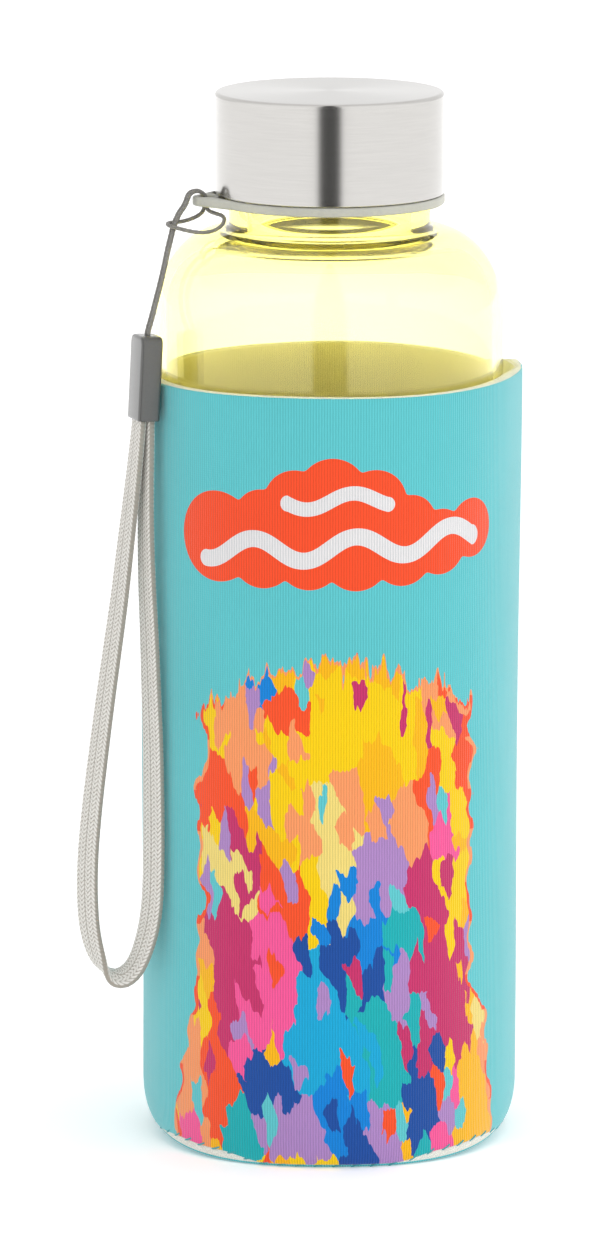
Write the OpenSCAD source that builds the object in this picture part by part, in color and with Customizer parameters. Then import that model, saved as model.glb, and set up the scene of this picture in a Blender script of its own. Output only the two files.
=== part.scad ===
// Glass water bottle with a screw cap, a swivel strap ring, a wrist strap and a fabric sleeve.
// Origin: centre of the base, on the surface it stands on. +Z up. The strap hangs on the -X side.

/* [Glass] */
// Outside diameter of the glass body
glass_d = 66; // [60:1:72]
// Glass wall thickness
glass_wall = 2; // [1.6:0.1:2.4]
// Thickness of the glass bottom
glass_floor = 4; // [3:0.5:6]
// Height of the straight part of the glass body
glass_straight_h = 156; // [120:1:190]
// Height of the rounded shoulder
shoulder_h = 16; // [13:0.5:20]
// Radius of the edge between the glass side and its bottom
glass_heel_r = 5; // [3:0.5:6]
// Diameter of the bare neck under the cap
neck_d = 38.2; // [32:0.2:42]
// Radius of the fillet between the shoulder and the neck
neck_fillet_r = 0.9; // [0.5:0.1:1]
// How far the neck steps in below its thread
neck_step = 1.2; // [0.8:0.1:1.6]
// Wall of the neck behind its thread
neck_wall = 2.5; // [2:0.1:3]
// Rounding of the drinking lip
lip_r = 0.8; // [0.5:0.1:1]

/* [Thread] */
// Height that the cap climbs in one turn
thread_pitch = 4; // [3.5:0.25:4.5]
// Number of turns of each thread
thread_turns = 1.5; // [1:0.25:1.5]
// How far the glass thread stands out from the neck
thread_depth = 1.1; // [0.8:0.1:1.2]
// Space between the crest of one thread and the root of the other
thread_crest_gap = 0.4; // [0.3:0.05:0.5]
// Distance from the lip down to the start of the glass thread
thread_below_lip = 4.4; // [4:0.1:5]

/* [Cap] */
// Wall of the plastic liner
liner_wall = 1.7; // [1.5:0.1:3]
// Height of the steel shell
cap_h = 19.4; // [16:0.1:24]
// Thickness of the steel sheet
shell_t = 0.5; // [0.4:0.05:0.7]
// Radius of the shell's top edge
cap_edge_r = 1.3; // [0.8:0.1:2]
// Thickness of the liner's top
liner_top_t = 1.5; // [1:0.1:2]
// Thickness of the silicone gasket
gasket_t = 1.5; // [1:0.1:2]
// Height of bare neck between the strap ring and the shoulder
neck_gap = 4.7; // [4:0.1:8]

/* [Strap ring] */
// Thickness of the ring and its ear
ring_t = 1.8; // [1.6:0.1:2.4]
// How far the ring stands out past the steel shell
ring_out = 0.1; // [0:0.1:0.5]
// Distance from the ring's rim out to the middle of the ear's hole
ear_reach = 1.4; // [1.2:0.1:2.4]
// Diameter of the hole in the ear
ear_hole_d = 3.5; // [3.2:0.1:4]
// Width of the bar outside the hole
ear_bar_w = 1.25; // [1:0.05:1.4]
// Direction of the ear, turned from -X towards -Y
ear_turn = 10; // [5:1:20]

/* [Sleeve] */
// Thickness of the printed foam fabric
foam_t = 2.2; // [1.8:0.1:3]
// Thickness of the knitted lining
lining_t = 0.4; // [0.3:0.1:0.6]
// How far the sleeve's rim stops below the shoulder
rim_drop = 11.1; // [6:0.1:40]
// How far the pinched side seam stands out from the round wall
seam_out = 0.9; // [0.4:0.1:1.5]
// How far the wall turns in above the base panel
hem_in = 1.6; // [1:0.1:1.8]
// Height over which the wall turns in
hem_h = 3.2; // [2:0.1:5]
// Radius of the base panel's lower edge
base_edge_r = 2; // [1:0.1:2.2]
// Thickness of the sewing thread
thread_d = 0.5; // [0.3:0.05:0.6]
// Length of one stitch
stitch_l = 2.6; // [2:0.1:4]
// Distance from one stitch to the next
stitch_pitch = 3.6; // [3:0.1:6]

/* [Wrist strap] */
// Thickness of the round lug cord
cord_d = 0.75; // [0.6:0.05:0.8]
// Width of the flat webbing
webbing_w = 5; // [4:0.1:5.2]
// Thickness of the flat webbing
webbing_t = 1.6; // [1.2:0.1:1.6]
// Clasp width across the webbing
clasp_w = 6.5; // [6.3:0.1:8]
// Clasp thickness through both webbing ends
clasp_t = 4.3; // [4.2:0.1:5]
// Clasp height
clasp_h = 16; // [14:0.5:18]
// Wall thickness of the clasp
clasp_wall = 0.45; // [0.4:0.05:0.5]
// Thickness of the clasp's top wall
clasp_top_t = 0.8; // [0.6:0.1:1]
// Rounding of the clasp's upper corners
clasp_corner_r = 1.6; // [1:0.1:2]

/* [Hidden] */
$fn = 96;

// clearances
rest_gap = 0.05;       // under the glass, and between the lip and the gasket
sleeve_gap = 0.25;     // round the glass, inside the sleeve
liner_gap = 0.05;      // between the liner and the steel shell
gasket_gap = 0.1;      // round the gasket
ring_gap = 0.1;        // above and below the swivelling ring
neck_clear = 0.35;     // between the neck and the liner

// sleeve
glass_r = glass_d / 2;
laminate_t = foam_t + lining_t;
sleeve_in_r = glass_r + sleeve_gap;
foam_in_r = sleeve_in_r + lining_t;
sleeve_r = foam_in_r + foam_t;
base_r = sleeve_r - hem_in;
seam_x = sleeve_r + seam_out;
seam_z0 = laminate_t + hem_h;

// heights of the glass, from the base up
glass_z0 = laminate_t + rest_gap;
shoulder_z = glass_z0 + glass_straight_h;
neck_z = shoulder_z + shoulder_h;
neck_r = neck_d / 2;
neck_root_r = neck_r + neck_fillet_r;
thread_root_r = neck_r - neck_step;
neck_bore_r = thread_root_r - neck_wall;
sleeve_h = shoulder_z - rim_drop;

// heights of the strap ring and the cap, from the shoulder up
ring_z0 = neck_z + neck_gap;
ring_z1 = ring_z0 + ring_t;
shell_z0 = ring_z1 + ring_gap;
shell_z1 = shell_z0 + cap_h;
liner_z1 = shell_z1 - shell_t - liner_gap;
liner_roof_z = liner_z1 - liner_top_t;
lip_z = liner_roof_z - gasket_t - rest_gap;

// radii of the cap
liner_in_r = neck_r + neck_clear;
liner_out_r = liner_in_r + liner_wall;
cap_r = liner_out_r + liner_gap + shell_t;
liner_skirt_r = liner_in_r + 0.75;
snap_r = liner_skirt_r + 0.4;
ring_in_r = liner_skirt_r + ring_gap;
ring_seat_r = snap_r + ring_gap;
snap_h = 0.55;
ring_seat_h = snap_h + 2 * ring_gap;

// thread sections
thread_crest_r = thread_root_r + thread_depth;
inner_crest_r = thread_root_r + thread_crest_gap;
thread_sink = 0.3;
thread_z = lip_z - thread_below_lip - thread_pitch * thread_turns;
outer_root_w = 2;
outer_crest_w = 1;
inner_root_w = 1.4;
inner_crest_w = 0.8;
inner_thread_drop = 1.5;
thread_steps = 36;     // sides of one turn
bead_z = thread_z - inner_thread_drop - inner_root_w / 2 - neck_step - 1;

// ear of the strap ring
ring_r = cap_r + ring_out;
ear_hole_at = ring_r + ear_reach;
ear_tip_r = ear_hole_d / 2 + ear_bar_w;
ear_spread = 24;       // from the ear's middle to where its side leaves the ring
ear_flank = 52;        // where that side meets the round tip

// strap: the clasp's top, its turn from -X towards -Y, and its lean away from the bottle
clasp_at = [-34.2, -16.8, 156.2];
clasp_turn = 21;
clasp_lean = 3;
cord_gap = 1;          // between the middles of the two cord strands
knot_d = 2.4;

// lug cord: up from the clasp, over the ear, down its hole, round both strands and back
cord_route = [
    [-34.0, -17.3, 155.6], [-33.9, -17.1, 157.2], [-33.2, -16.1, 159.7], [-32.4, -14.9, 162.7],
    [-31.6, -13.6, 165.7], [-30.9, -12.3, 168.6], [-30.3, -10.9, 171.4], [-29.7, -9.6, 173.8],
    [-29.1, -8.3, 176.0], [-28.2, -6.9, 178.0], [-27.2, -5.9, 179.4], [-26.7, -5.6, 180.5],
    [-26.4, -5.4, 181.3], [-25.8, -5.2, 181.9], [-25.0, -4.9, 182.1], [-24.2, -4.6, 181.9],
    [-23.6, -4.4, 181.4], [-23.3, -4.3, 180.7], [-23.2, -4.3, 179.9], [-23.2, -4.6, 179.0],
    [-22.6, -5.4, 178.4], [-21.4, -6.6, 178.1], [-20.3, -8.0, 177.9], [-19.8, -9.3, 177.4],
    [-20.2, -10.2, 176.5], [-21.4, -10.6, 175.6], [-23.2, -10.6, 175.1], [-25.2, -10.3, 175.1],
    [-27.1, -9.8, 175.4], [-28.8, -9.5, 175.8], [-30.1, -8.9, 176.1], [-30.5, -7.9, 176.3],
    [-30.1, -6.9, 176.4], [-29.0, -6.2, 176.4], [-27.6, -5.5, 176.5], [-26.2, -4.7, 176.8],
    [-24.9, -3.9, 177.3], [-24.0, -3.4, 178.0], [-23.6, -3.3, 179.0], [-23.5, -3.3, 180.0],
    [-23.6, -3.4, 180.8], [-24.0, -3.5, 181.5], [-24.6, -3.7, 182.0], [-25.4, -4.0, 182.1],
    [-26.2, -4.3, 181.9], [-26.8, -4.5, 181.3], [-27.1, -4.7, 180.5], [-27.6, -5.0, 179.4],
    [-28.6, -6.0, 178.0], [-29.5, -7.4, 176.0], [-30.1, -8.7, 173.8], [-30.7, -10.0, 171.4],
    [-31.3, -11.4, 168.6], [-32.0, -12.7, 165.7], [-32.8, -14.0, 162.7], [-33.6, -15.2, 159.7],
    [-34.3, -16.2, 157.2], [-34.4, -16.4, 155.6]
];

// webbing: down its outer run, round the bottom of the loop and up its inner run.
// Each point has the plan turn of the wide side (from +Y towards -X) and its tilt.
webbing_route = [
    [-35.3, -17.2, 150.8, 21, 0], [-35.5, -17.3, 145.5, 21, 0], [-35.8, -17.4, 140.3, 21, 0],
    [-36.3, -17.4, 135, 23, 0], [-37.3, -17.3, 126, 27, 0], [-38.5, -17.1, 116, 31, 0],
    [-39.7, -16.9, 106, 34, 0], [-41.1, -16.7, 96, 37, 0], [-42.5, -16.5, 86, 39, 0],
    [-43.8, -16.4, 76, 41, 0], [-45, -16.3, 66, 43, 2], [-45.8, -16.3, 57, 45, 5],
    [-46, -16.4, 49, 47, 9], [-45.5, -16.5, 42, 46, 14], [-44, -16.8, 36.6, 40, 20],
    [-41.7, -17.2, 33.6, 30, 26], [-39.2, -17.6, 33.2, 26, 30], [-37, -18, 35.2, 32, 28],
    [-35.3, -18.4, 39.2, 40, 22], [-34.1, -18.6, 44.2, 46, 14], [-33.5, -18.6, 50, 48, 7],
    [-33.3, -18.6, 59, 48, 2], [-33.3, -18.5, 69, 46, 0], [-33.4, -18.4, 79, 43, 0],
    [-33.7, -18.2, 89, 40, 0], [-34, -17.9, 99, 37, 0], [-34.4, -17.6, 109, 33, 0],
    [-34.6, -17.3, 119, 29, 0], [-34.5, -17, 128, 25, 0], [-34.3, -16.9, 135, 22, 0],
    [-34.2, -16.8, 140.2, 21, 0], [-33.9, -16.7, 145.5, 21, 0], [-33.7, -16.6, 150.7, 21, 0]
];

// ---------- helpers ----------

// Points along an elliptic arc
function arc(cx, cz, rx, rz, a0, a1, n) =
    [for (i = [0:n]) let (a = a0 + (a1 - a0) * i / n) [cx + rx * cos(a), cz + rz * sin(a)]];

function unit(v) = v / norm(v);

// Direction of a route at point i
function along(p, i) = unit(p[min(i + 1, len(p) - 1)] - p[max(i - 1, 0)]);

// Side direction at each point, square to the route
function square_to(v, t) = unit(v - (v * t) * t);
function carry(p, v, i = 0) =
    let (s = square_to(v, along(p, i))) i == len(p) - 1 ? [s] : concat([s], carry(p, s, i + 1));

// Solid swept along points p, with side directions s and a section of [across, through] points
module sweep(p, s, section) {
    k = len(section);
    n = len(p);
    points = [for (i = [0:n - 1]) let (u = cross(along(p, i), s[i]))
        for (q = section) p[i] + q[0] * s[i] + q[1] * u];
    ends = [[for (j = [0:k - 1]) j], [for (j = [0:k - 1]) n * k - 1 - j]];
    sides = [for (i = [0:n - 2]) for (j = [0:k - 1])
        let (a = i * k + j, b = i * k + (j + 1) % k)
        each [[a, b + k, b], [a, a + k, b + k]]];
    polyhedron(points, concat(ends, sides), convexity = 10);
}

// Raised helical thread. It is buried by thread_sink and fades out over both ends.
module thread_ridge(root_r, crest_r, root_w, crest_w, z0) {
    outward = crest_r > root_r ? 1 : -1;
    sunk_r = root_r - outward * thread_sink;
    n = round(thread_turns * thread_steps);
    fade_n = 6;
    points = [for (i = [0:n])
        let (a = 360 * i / thread_steps, z = z0 + thread_pitch * i / thread_steps,
             f = min(1, (i + 1) / fade_n, (n - i + 1) / fade_n), r = root_r + f * (crest_r - root_r),
             rw = root_w / 2, cw = crest_w / 2)
        for (q = [[sunk_r, -rw], [r, -cw], [r, cw], [sunk_r, rw]])
            [q[0] * cos(a), q[0] * sin(a), z + q[1]]];
    ends = [[3, 2, 1, 0], [4 * n, 4 * n + 1, 4 * n + 2, 4 * n + 3]];
    sides = [for (i = [0:n - 1]) for (j = [0:3])
        let (a = 4 * i + j, b = 4 * i + (j + 1) % 4)
        each [[a, b + 4, a + 4], [a, b, b + 4]]];
    faces = concat(ends, sides);
    polyhedron(points, outward > 0 ? faces : [for (f = faces) [for (j = [len(f) - 1:-1:0]) f[j]]],
               convexity = 10);
}

// Places its children in the clasp's frame: x away from the bottle, z up along the clasp
module at_clasp() {
    translate(clasp_at) rotate([0, 0, 180 + clasp_turn]) rotate([0, -clasp_lean, 0]) children();
}

// ---------- glass ----------

module glass_outline() {
    floor_z = glass_z0 + glass_floor;
    in_r = glass_r - glass_wall;
    in_heel_r = glass_heel_r - glass_wall / 2;
    in_turn_r = neck_fillet_r + 1.1;
    in_shoulder_h = shoulder_h - glass_wall - in_turn_r / 4;
    in_neck_z = shoulder_z + in_shoulder_h + in_turn_r;
    polygon(concat(
        [[0, glass_z0]],
        arc(glass_r - glass_heel_r, glass_z0 + glass_heel_r, glass_heel_r, glass_heel_r, -90, 0, 8),
        arc(neck_root_r, shoulder_z, glass_r - neck_root_r, shoulder_h, 0, 90, 16),
        arc(neck_root_r, neck_z + neck_fillet_r, neck_fillet_r, neck_fillet_r, -100, -180, 5),
        [[neck_r, bead_z], [thread_root_r, bead_z + neck_r - thread_root_r]],
        arc(thread_root_r - lip_r, lip_z - lip_r, lip_r, lip_r, 0, 90, 5),
        arc(neck_bore_r + lip_r, lip_z - lip_r, lip_r, lip_r, 90, 180, 5),
        arc(neck_bore_r + in_turn_r, in_neck_z, in_turn_r, in_turn_r, 180, 260, 5),
        arc(neck_bore_r + in_turn_r, shoulder_z, in_r - neck_bore_r - in_turn_r, in_shoulder_h, 90, 0, 16),
        arc(in_r - in_heel_r, floor_z + in_heel_r, in_heel_r, in_heel_r, 0, -90, 8),
        [[0, floor_z]]
    ));
}

module glass_body() {
    color([0.99, 0.97, 0.7, 0.45]) {
        rotate_extrude() glass_outline();
        thread_ridge(thread_root_r, thread_crest_r, outer_root_w, outer_crest_w, thread_z);
    }
}

// ---------- cap ----------

// Round-edged disc, as the section of the drawn steel cup
module cup_section(r, h, edge_r) {
    square([r, h - edge_r]);
    square([r - edge_r, h]);
    translate([r - edge_r, h - edge_r]) circle(edge_r);
}

module cap_shell() {
    color("silver") translate([0, 0, shell_z0])
        difference() {
            rotate_extrude() cup_section(cap_r, cap_h, cap_edge_r);
            translate([0, 0, -1])
                rotate_extrude() cup_section(cap_r - shell_t, cap_h - shell_t + 1, cap_edge_r - shell_t);
        }
}

module cap_liner() {
    skirt_z1 = shell_z0 + 0.3;
    chamfer = 1.2;
    color("whitesmoke") {
        rotate_extrude() polygon([
            [0, liner_z1], [0, liner_roof_z], [liner_in_r, liner_roof_z], [liner_in_r, ring_z0 + ring_gap],
            [snap_r, ring_z0 + ring_gap], [snap_r, ring_z0 + ring_gap + snap_h],
            [liner_skirt_r, ring_z0 + ring_gap + snap_h], [liner_skirt_r, skirt_z1],
            [liner_out_r, skirt_z1], [liner_out_r, liner_z1 - chamfer], [liner_out_r - chamfer, liner_z1]
        ]);
        thread_ridge(liner_in_r, inner_crest_r, inner_root_w, inner_crest_w,
                     thread_z - inner_thread_drop);
    }
}

module cap_gasket() {
    color("white") translate([0, 0, lip_z + rest_gap])
        cylinder(r = liner_in_r - gasket_gap, h = gasket_t);
}

// ---------- strap ring ----------

module ear_plate() {
    // the sides start inside the ring and end just inside the round tip
    root = (ring_r - 0.1) * [cos(ear_spread), sin(ear_spread)];
    tip = [ear_hole_at, 0] + (ear_tip_r - 0.03) * [cos(ear_flank), sin(ear_flank)];
    rotate(180 + ear_turn) {
        translate([ear_hole_at, 0]) circle(ear_tip_r);
        polygon([[root.x, -root.y], [tip.x, -tip.y], tip, root]);
    }
}

module strap_ring() {
    color("lightgray") difference() {
        translate([0, 0, ring_z0]) linear_extrude(ring_t) difference() {
            union() {
                circle(ring_r);
                ear_plate();
            }
            circle(ring_in_r);
        }
        translate([0, 0, ring_z0 - 1]) cylinder(r = ring_seat_r, h = 1 + ring_seat_h);
        rotate(180 + ear_turn) translate([ear_hole_at, 0, ring_z0 - 1])
            cylinder(d = ear_hole_d, h = ring_t + 2);
    }
}

// ---------- sleeve ----------

module sleeve_body() {
    top_r = 0.8;
    // where straight lines from the seam's ridge touch the round wall
    touch = acos(sleeve_r / seam_x);
    color("mediumturquoise") difference() {
        union() {
            rotate_extrude() polygon(concat(
                [[foam_in_r - 1, laminate_t]],
                arc(sleeve_r - hem_in, laminate_t + hem_h, hem_in, hem_h, -90, 0, 6),
                arc(sleeve_r - top_r, sleeve_h - top_r, top_r, top_r, 0, 90, 4),
                [[foam_in_r - 1, sleeve_h]]
            ));
            translate([0, 0, seam_z0]) linear_extrude(sleeve_h - top_r - seam_z0)
                polygon([
                    [foam_in_r, 0], [sleeve_r * cos(touch), -sleeve_r * sin(touch)], [seam_x, 0],
                    [sleeve_r * cos(touch), sleeve_r * sin(touch)]
                ]);
        }
        translate([0, 0, -1]) cylinder(r = foam_in_r, h = sleeve_h + 2);
    }
}

module sleeve_lining() {
    color("lightgray") translate([0, 0, laminate_t]) difference() {
        cylinder(r = foam_in_r, h = sleeve_h - laminate_t);
        translate([0, 0, -1]) cylinder(r = sleeve_in_r, h = sleeve_h);
    }
}

module sleeve_base() {
    color("mediumturquoise") rotate_extrude() polygon(concat(
        [[0, 0]],
        arc(base_r - base_edge_r, base_edge_r, base_edge_r, base_edge_r, -90, 0, 6),
        [[base_r, foam_t], [0, foam_t]]
    ));
}

module sleeve_base_lining() {
    color("lightgray") translate([0, 0, foam_t]) cylinder(r = base_r, h = lining_t);
}

module side_seam_thread() {
    count = floor((sleeve_h - seam_z0 - 2 * stitch_pitch) / stitch_pitch);
    color("teal") for (i = [1:count])
        translate([seam_x - thread_d / 2, 0, seam_z0 + i * stitch_pitch])
            cylinder(d = thread_d, h = stitch_l, $fn = 16);
}

module base_seam_thread() {
    count = floor(2 * PI * base_r / stitch_pitch);
    color("teal") for (i = [0:count - 1])
        rotate(i * 360 / count) translate([base_r - thread_d / 4, 0, laminate_t])
            rotate([90, 0, 0]) cylinder(d = thread_d, h = stitch_l, center = true, $fn = 16);
}

// ---------- wrist strap ----------

module lug_cord() {
    ring = [for (a = [22.5:45:359]) cord_d / 2 * [cos(a), sin(a)]];
    color("dimgray") sweep(cord_route, carry(cord_route, [1, 0, 0]), ring);
}

module cord_knot() {
    color("dimgray") at_clasp() {
        translate([0, 0.45, -1.9 - knot_d / 2]) sphere(d = knot_d, $fn = 32);
        translate([0, -0.45, -1.7 - knot_d / 2]) sphere(d = knot_d, $fn = 32);
    }
}

module clasp_housing() {
    in_w = clasp_w - 2 * clasp_wall;
    in_t = clasp_t - 2 * clasp_wall;
    top_z = clasp_top_t / 2;
    bottom_z = top_z - clasp_h;
    knot_room = clasp_corner_r + 0.4;
    knot_w = in_w - 2 * (clasp_corner_r - clasp_wall) - 0.3;
    slot = [cord_d + 0.35, cord_gap + cord_d + 0.9];
    color("dimgray") at_clasp() difference() {
        translate([-clasp_t / 2, 0, bottom_z]) rotate([90, 0, 90]) linear_extrude(clasp_t) {
            translate([-clasp_w / 2, 0]) square([clasp_w, clasp_h - clasp_corner_r]);
            for (s = [-1, 1])
                translate([s * (clasp_w / 2 - clasp_corner_r), clasp_h - clasp_corner_r])
                    circle(clasp_corner_r);
            translate([clasp_corner_r - clasp_w / 2, 0])
                square([clasp_w - 2 * clasp_corner_r, clasp_h]);
        }
        translate([-in_t / 2, -in_w / 2, bottom_z - 1]) cube([in_t, in_w, clasp_h - knot_room + 1]);
        translate([-in_t / 2, -knot_w / 2, -knot_room]) cube([in_t, knot_w, knot_room - top_z]);
        translate([-slot.x / 2, -slot.y / 2, -2]) cube([slot.x, slot.y, 4]);
    }
}

module strap_webbing() {
    points = [for (q = webbing_route) [q[0], q[1], q[2]]];
    sides = [for (i = [0:len(points) - 1]) let (q = webbing_route[i])
        square_to([-sin(q[3]) * cos(q[4]), cos(q[3]) * cos(q[4]), sin(q[4])], along(points, i))];
    w = webbing_w / 2;
    t = webbing_t / 2;
    e = webbing_t / 4;
    half = [[w, e - t], [w, t - e], [w - e, t], [e - w, t]];
    section = concat(half, -half);
    color("gainsboro") sweep(points, sides, section);
}

module webbing_tack() {
    count = 4;
    reach = 2 * webbing_t + 0.1;
    color("white") at_clasp() for (i = [0:count - 1])
        translate([-reach / 2, (i - (count - 1) / 2) * 1.1, -7.4])
            rotate([0, 90, 0]) cylinder(d = thread_d / 2, h = reach, $fn = 16);
}

glass_body();
cap_shell();
cap_liner();
cap_gasket();
strap_ring();
sleeve_body();
sleeve_lining();
sleeve_base();
sleeve_base_lining();
side_seam_thread();
base_seam_thread();
lug_cord();
cord_knot();
clasp_housing();
strap_webbing();
webbing_tack();
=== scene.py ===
# %% [markdown]
# # A glass bottle in a printed sleeve
#
# The bottle is pale yellow glass with a steel screw cap. A wrist strap hangs from a plastic ring under the
# cap, and a knit-covered foam sleeve keeps the glass warm and safe. The CAD model gives every piece its
# place and size. This notebook builds the pieces that need more than CAD shapes, which are the cloth, the
# cords, the glass and the pressed steel, and it gives every piece a finish made of nodes.

# %% Load the frame
import bmesh
import bpy
import math
from mathutils import Matrix, Vector


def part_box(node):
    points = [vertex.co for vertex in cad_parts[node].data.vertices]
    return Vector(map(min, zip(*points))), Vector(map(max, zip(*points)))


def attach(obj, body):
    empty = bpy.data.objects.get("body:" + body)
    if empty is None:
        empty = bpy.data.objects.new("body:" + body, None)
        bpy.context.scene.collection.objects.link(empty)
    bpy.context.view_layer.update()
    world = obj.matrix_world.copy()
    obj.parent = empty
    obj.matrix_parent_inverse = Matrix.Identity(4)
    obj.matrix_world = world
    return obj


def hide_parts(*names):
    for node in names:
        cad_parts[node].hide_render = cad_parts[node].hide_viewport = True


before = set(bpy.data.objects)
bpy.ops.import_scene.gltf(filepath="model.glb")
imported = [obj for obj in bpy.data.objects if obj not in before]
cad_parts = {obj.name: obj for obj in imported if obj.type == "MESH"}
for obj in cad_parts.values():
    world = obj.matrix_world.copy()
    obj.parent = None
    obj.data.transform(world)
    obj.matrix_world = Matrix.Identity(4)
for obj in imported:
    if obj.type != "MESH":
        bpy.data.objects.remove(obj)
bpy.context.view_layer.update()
MM = 0.001


def span(node):
    """The lowest and highest corner of a CAD node, in millimetres."""
    lo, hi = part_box(node)
    return lo / MM, hi / MM


# %% [markdown]
# ## The camera
#
# The camera stands about a metre and a half in front of the bottle, a little above it, and looks down by
# eleven degrees. A long lens keeps the sides of the bottle nearly parallel.

# %% Camera
CAMERA_AT = (-0.00558, -1.4577, 0.3804)
LENS_MM, LOOKS_DOWN = 223.9, 10.966


def add_camera():
    data = bpy.data.cameras.new("bottle_camera")
    data.lens = LENS_MM
    data.clip_end = 50
    camera = bpy.data.objects.new("bottle_camera", data)
    camera.location = CAMERA_AT
    camera.rotation_euler = (math.radians(90 - LOOKS_DOWN), 0, 0)
    bpy.context.scene.collection.objects.link(camera)
    bpy.context.scene.camera = camera
    return camera


camera = add_camera()
print("camera height", round(camera.location.z, 3), "m")

# %% [markdown]
# ## Grids of points
#
# Most of the soft pieces here are a grid of points bent into a shape: rings of points along a path for a
# cord, or columns of points round the bottle for the sleeve. One function turns such a grid into a mesh
# with a UV map. Its units are metres, so a weave keeps its real scale on every piece.

# %% Grid helper
def add_piece(name, mesh):
    piece = bpy.data.objects.new(name, mesh)
    bpy.context.scene.collection.objects.link(piece)
    return piece


def grid_mesh(name, rows, uv_rows, caps=False, loop_rows=False):
    """Rows of points become a mesh. Each row is a closed ring. Caps close both ends; loop_rows joins them."""
    count, width = len(rows), len(rows[0])
    faces, uvs = [], []
    for i in range(count if loop_rows else count - 1):
        k = (i + 1) % count
        for j in range(width):
            m = (j + 1) % width
            faces.append((i * width + j, i * width + m, k * width + m, k * width + j))
            uvs += [uv_rows[i][j], uv_rows[i][j + 1], uv_rows[i + 1][j + 1], uv_rows[i + 1][j]]
    if caps:
        faces += [tuple(range(width - 1, -1, -1)), tuple((count - 1) * width + j for j in range(width))]
        uvs += [uv_rows[0][0]] * width + [uv_rows[-1][0]] * width
    mesh = bpy.data.meshes.new(name)
    mesh.from_pydata([tuple(p) for row in rows for p in row], [], faces)
    layer = mesh.uv_layers.new(name="cloth")
    layer.data.foreach_set("uv", [value for uv in uvs for value in uv])
    mesh.polygons.foreach_set("use_smooth", [True] * len(mesh.polygons))
    return mesh


def face_outwards(mesh):
    """Turns the faces of closed shells outwards. Doubles are merged first, so seams and poles close."""
    shape = bmesh.new()
    shape.from_mesh(mesh)
    bmesh.ops.remove_doubles(shape, verts=shape.verts, dist=1e-7)
    bmesh.ops.recalc_face_normals(shape, faces=shape.faces)
    shape.to_mesh(mesh)
    shape.free()


print("grids are ready")

# %% [markdown]
# ## A path through listed points
#
# The cord and the strap follow listed points, the same ones as in the CAD model. A spline through
# them gives a smooth line, and it is then sampled at even steps, so a braid keeps its pitch all the way.

# %% Path helper
def blend_four(p0, p1, p2, p3, t):
    """A Catmull-Rom spline from p1 to p2, at t from 0 to 1. Extra values such as a turn are carried along."""
    blended = []
    for a, b, c, d in zip(p0, p1, p2, p3):
        square = 2 * a - 5 * b + 4 * c - d
        cube = 3 * b - a - 3 * c + d
        blended.append(0.5 * (2 * b + (c - a) * t + square * t * t + cube * t ** 3))
    return blended


def even_path(route, spacing):
    """Samples of the smooth line, an even spacing apart, and its length. All in millimetres."""
    last = len(route) - 1
    fine = [blend_four(route[max(i - 1, 0)], route[i], route[i + 1], route[min(i + 2, last)], s / 16)
            for i in range(last) for s in range(16)]
    fine.append(list(route[-1]))
    reach = [0.0]
    for a, b in zip(fine, fine[1:]):
        reach.append(reach[-1] + (Vector(b[:3]) - Vector(a[:3])).length)
    count = round(reach[-1] / spacing)
    samples, k = [], 0
    for i in range(count + 1):
        want = reach[-1] * i / count
        while k < len(fine) - 2 and reach[k + 1] < want:
            k += 1
        t = (want - reach[k]) / (reach[k + 1] - reach[k])
        samples.append([a + (b - a) * t for a, b in zip(fine[k], fine[k + 1])])
    return samples, reach[-1]


def directions(points):
    last = len(points) - 1
    return [(points[min(i + 1, last)] - points[max(i - 1, 0)]).normalized() for i in range(last + 1)]


def square_to(side, ahead):
    return (side - side.dot(ahead) * ahead).normalized()


print("paths are ready")

# %% [markdown]
# ## The lug cord
#
# The strap hangs on a cord less than a millimetre thick. It is doubled, pushed down through the ring's
# ear, spread into a loop and slipped over its own two strands, which is called a girth hitch. A curve
# object with a round bevel could make it, but a swept mesh can carry the braid: eight fine strands cross
# each other, and the radius rises a little along each of them.

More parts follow.
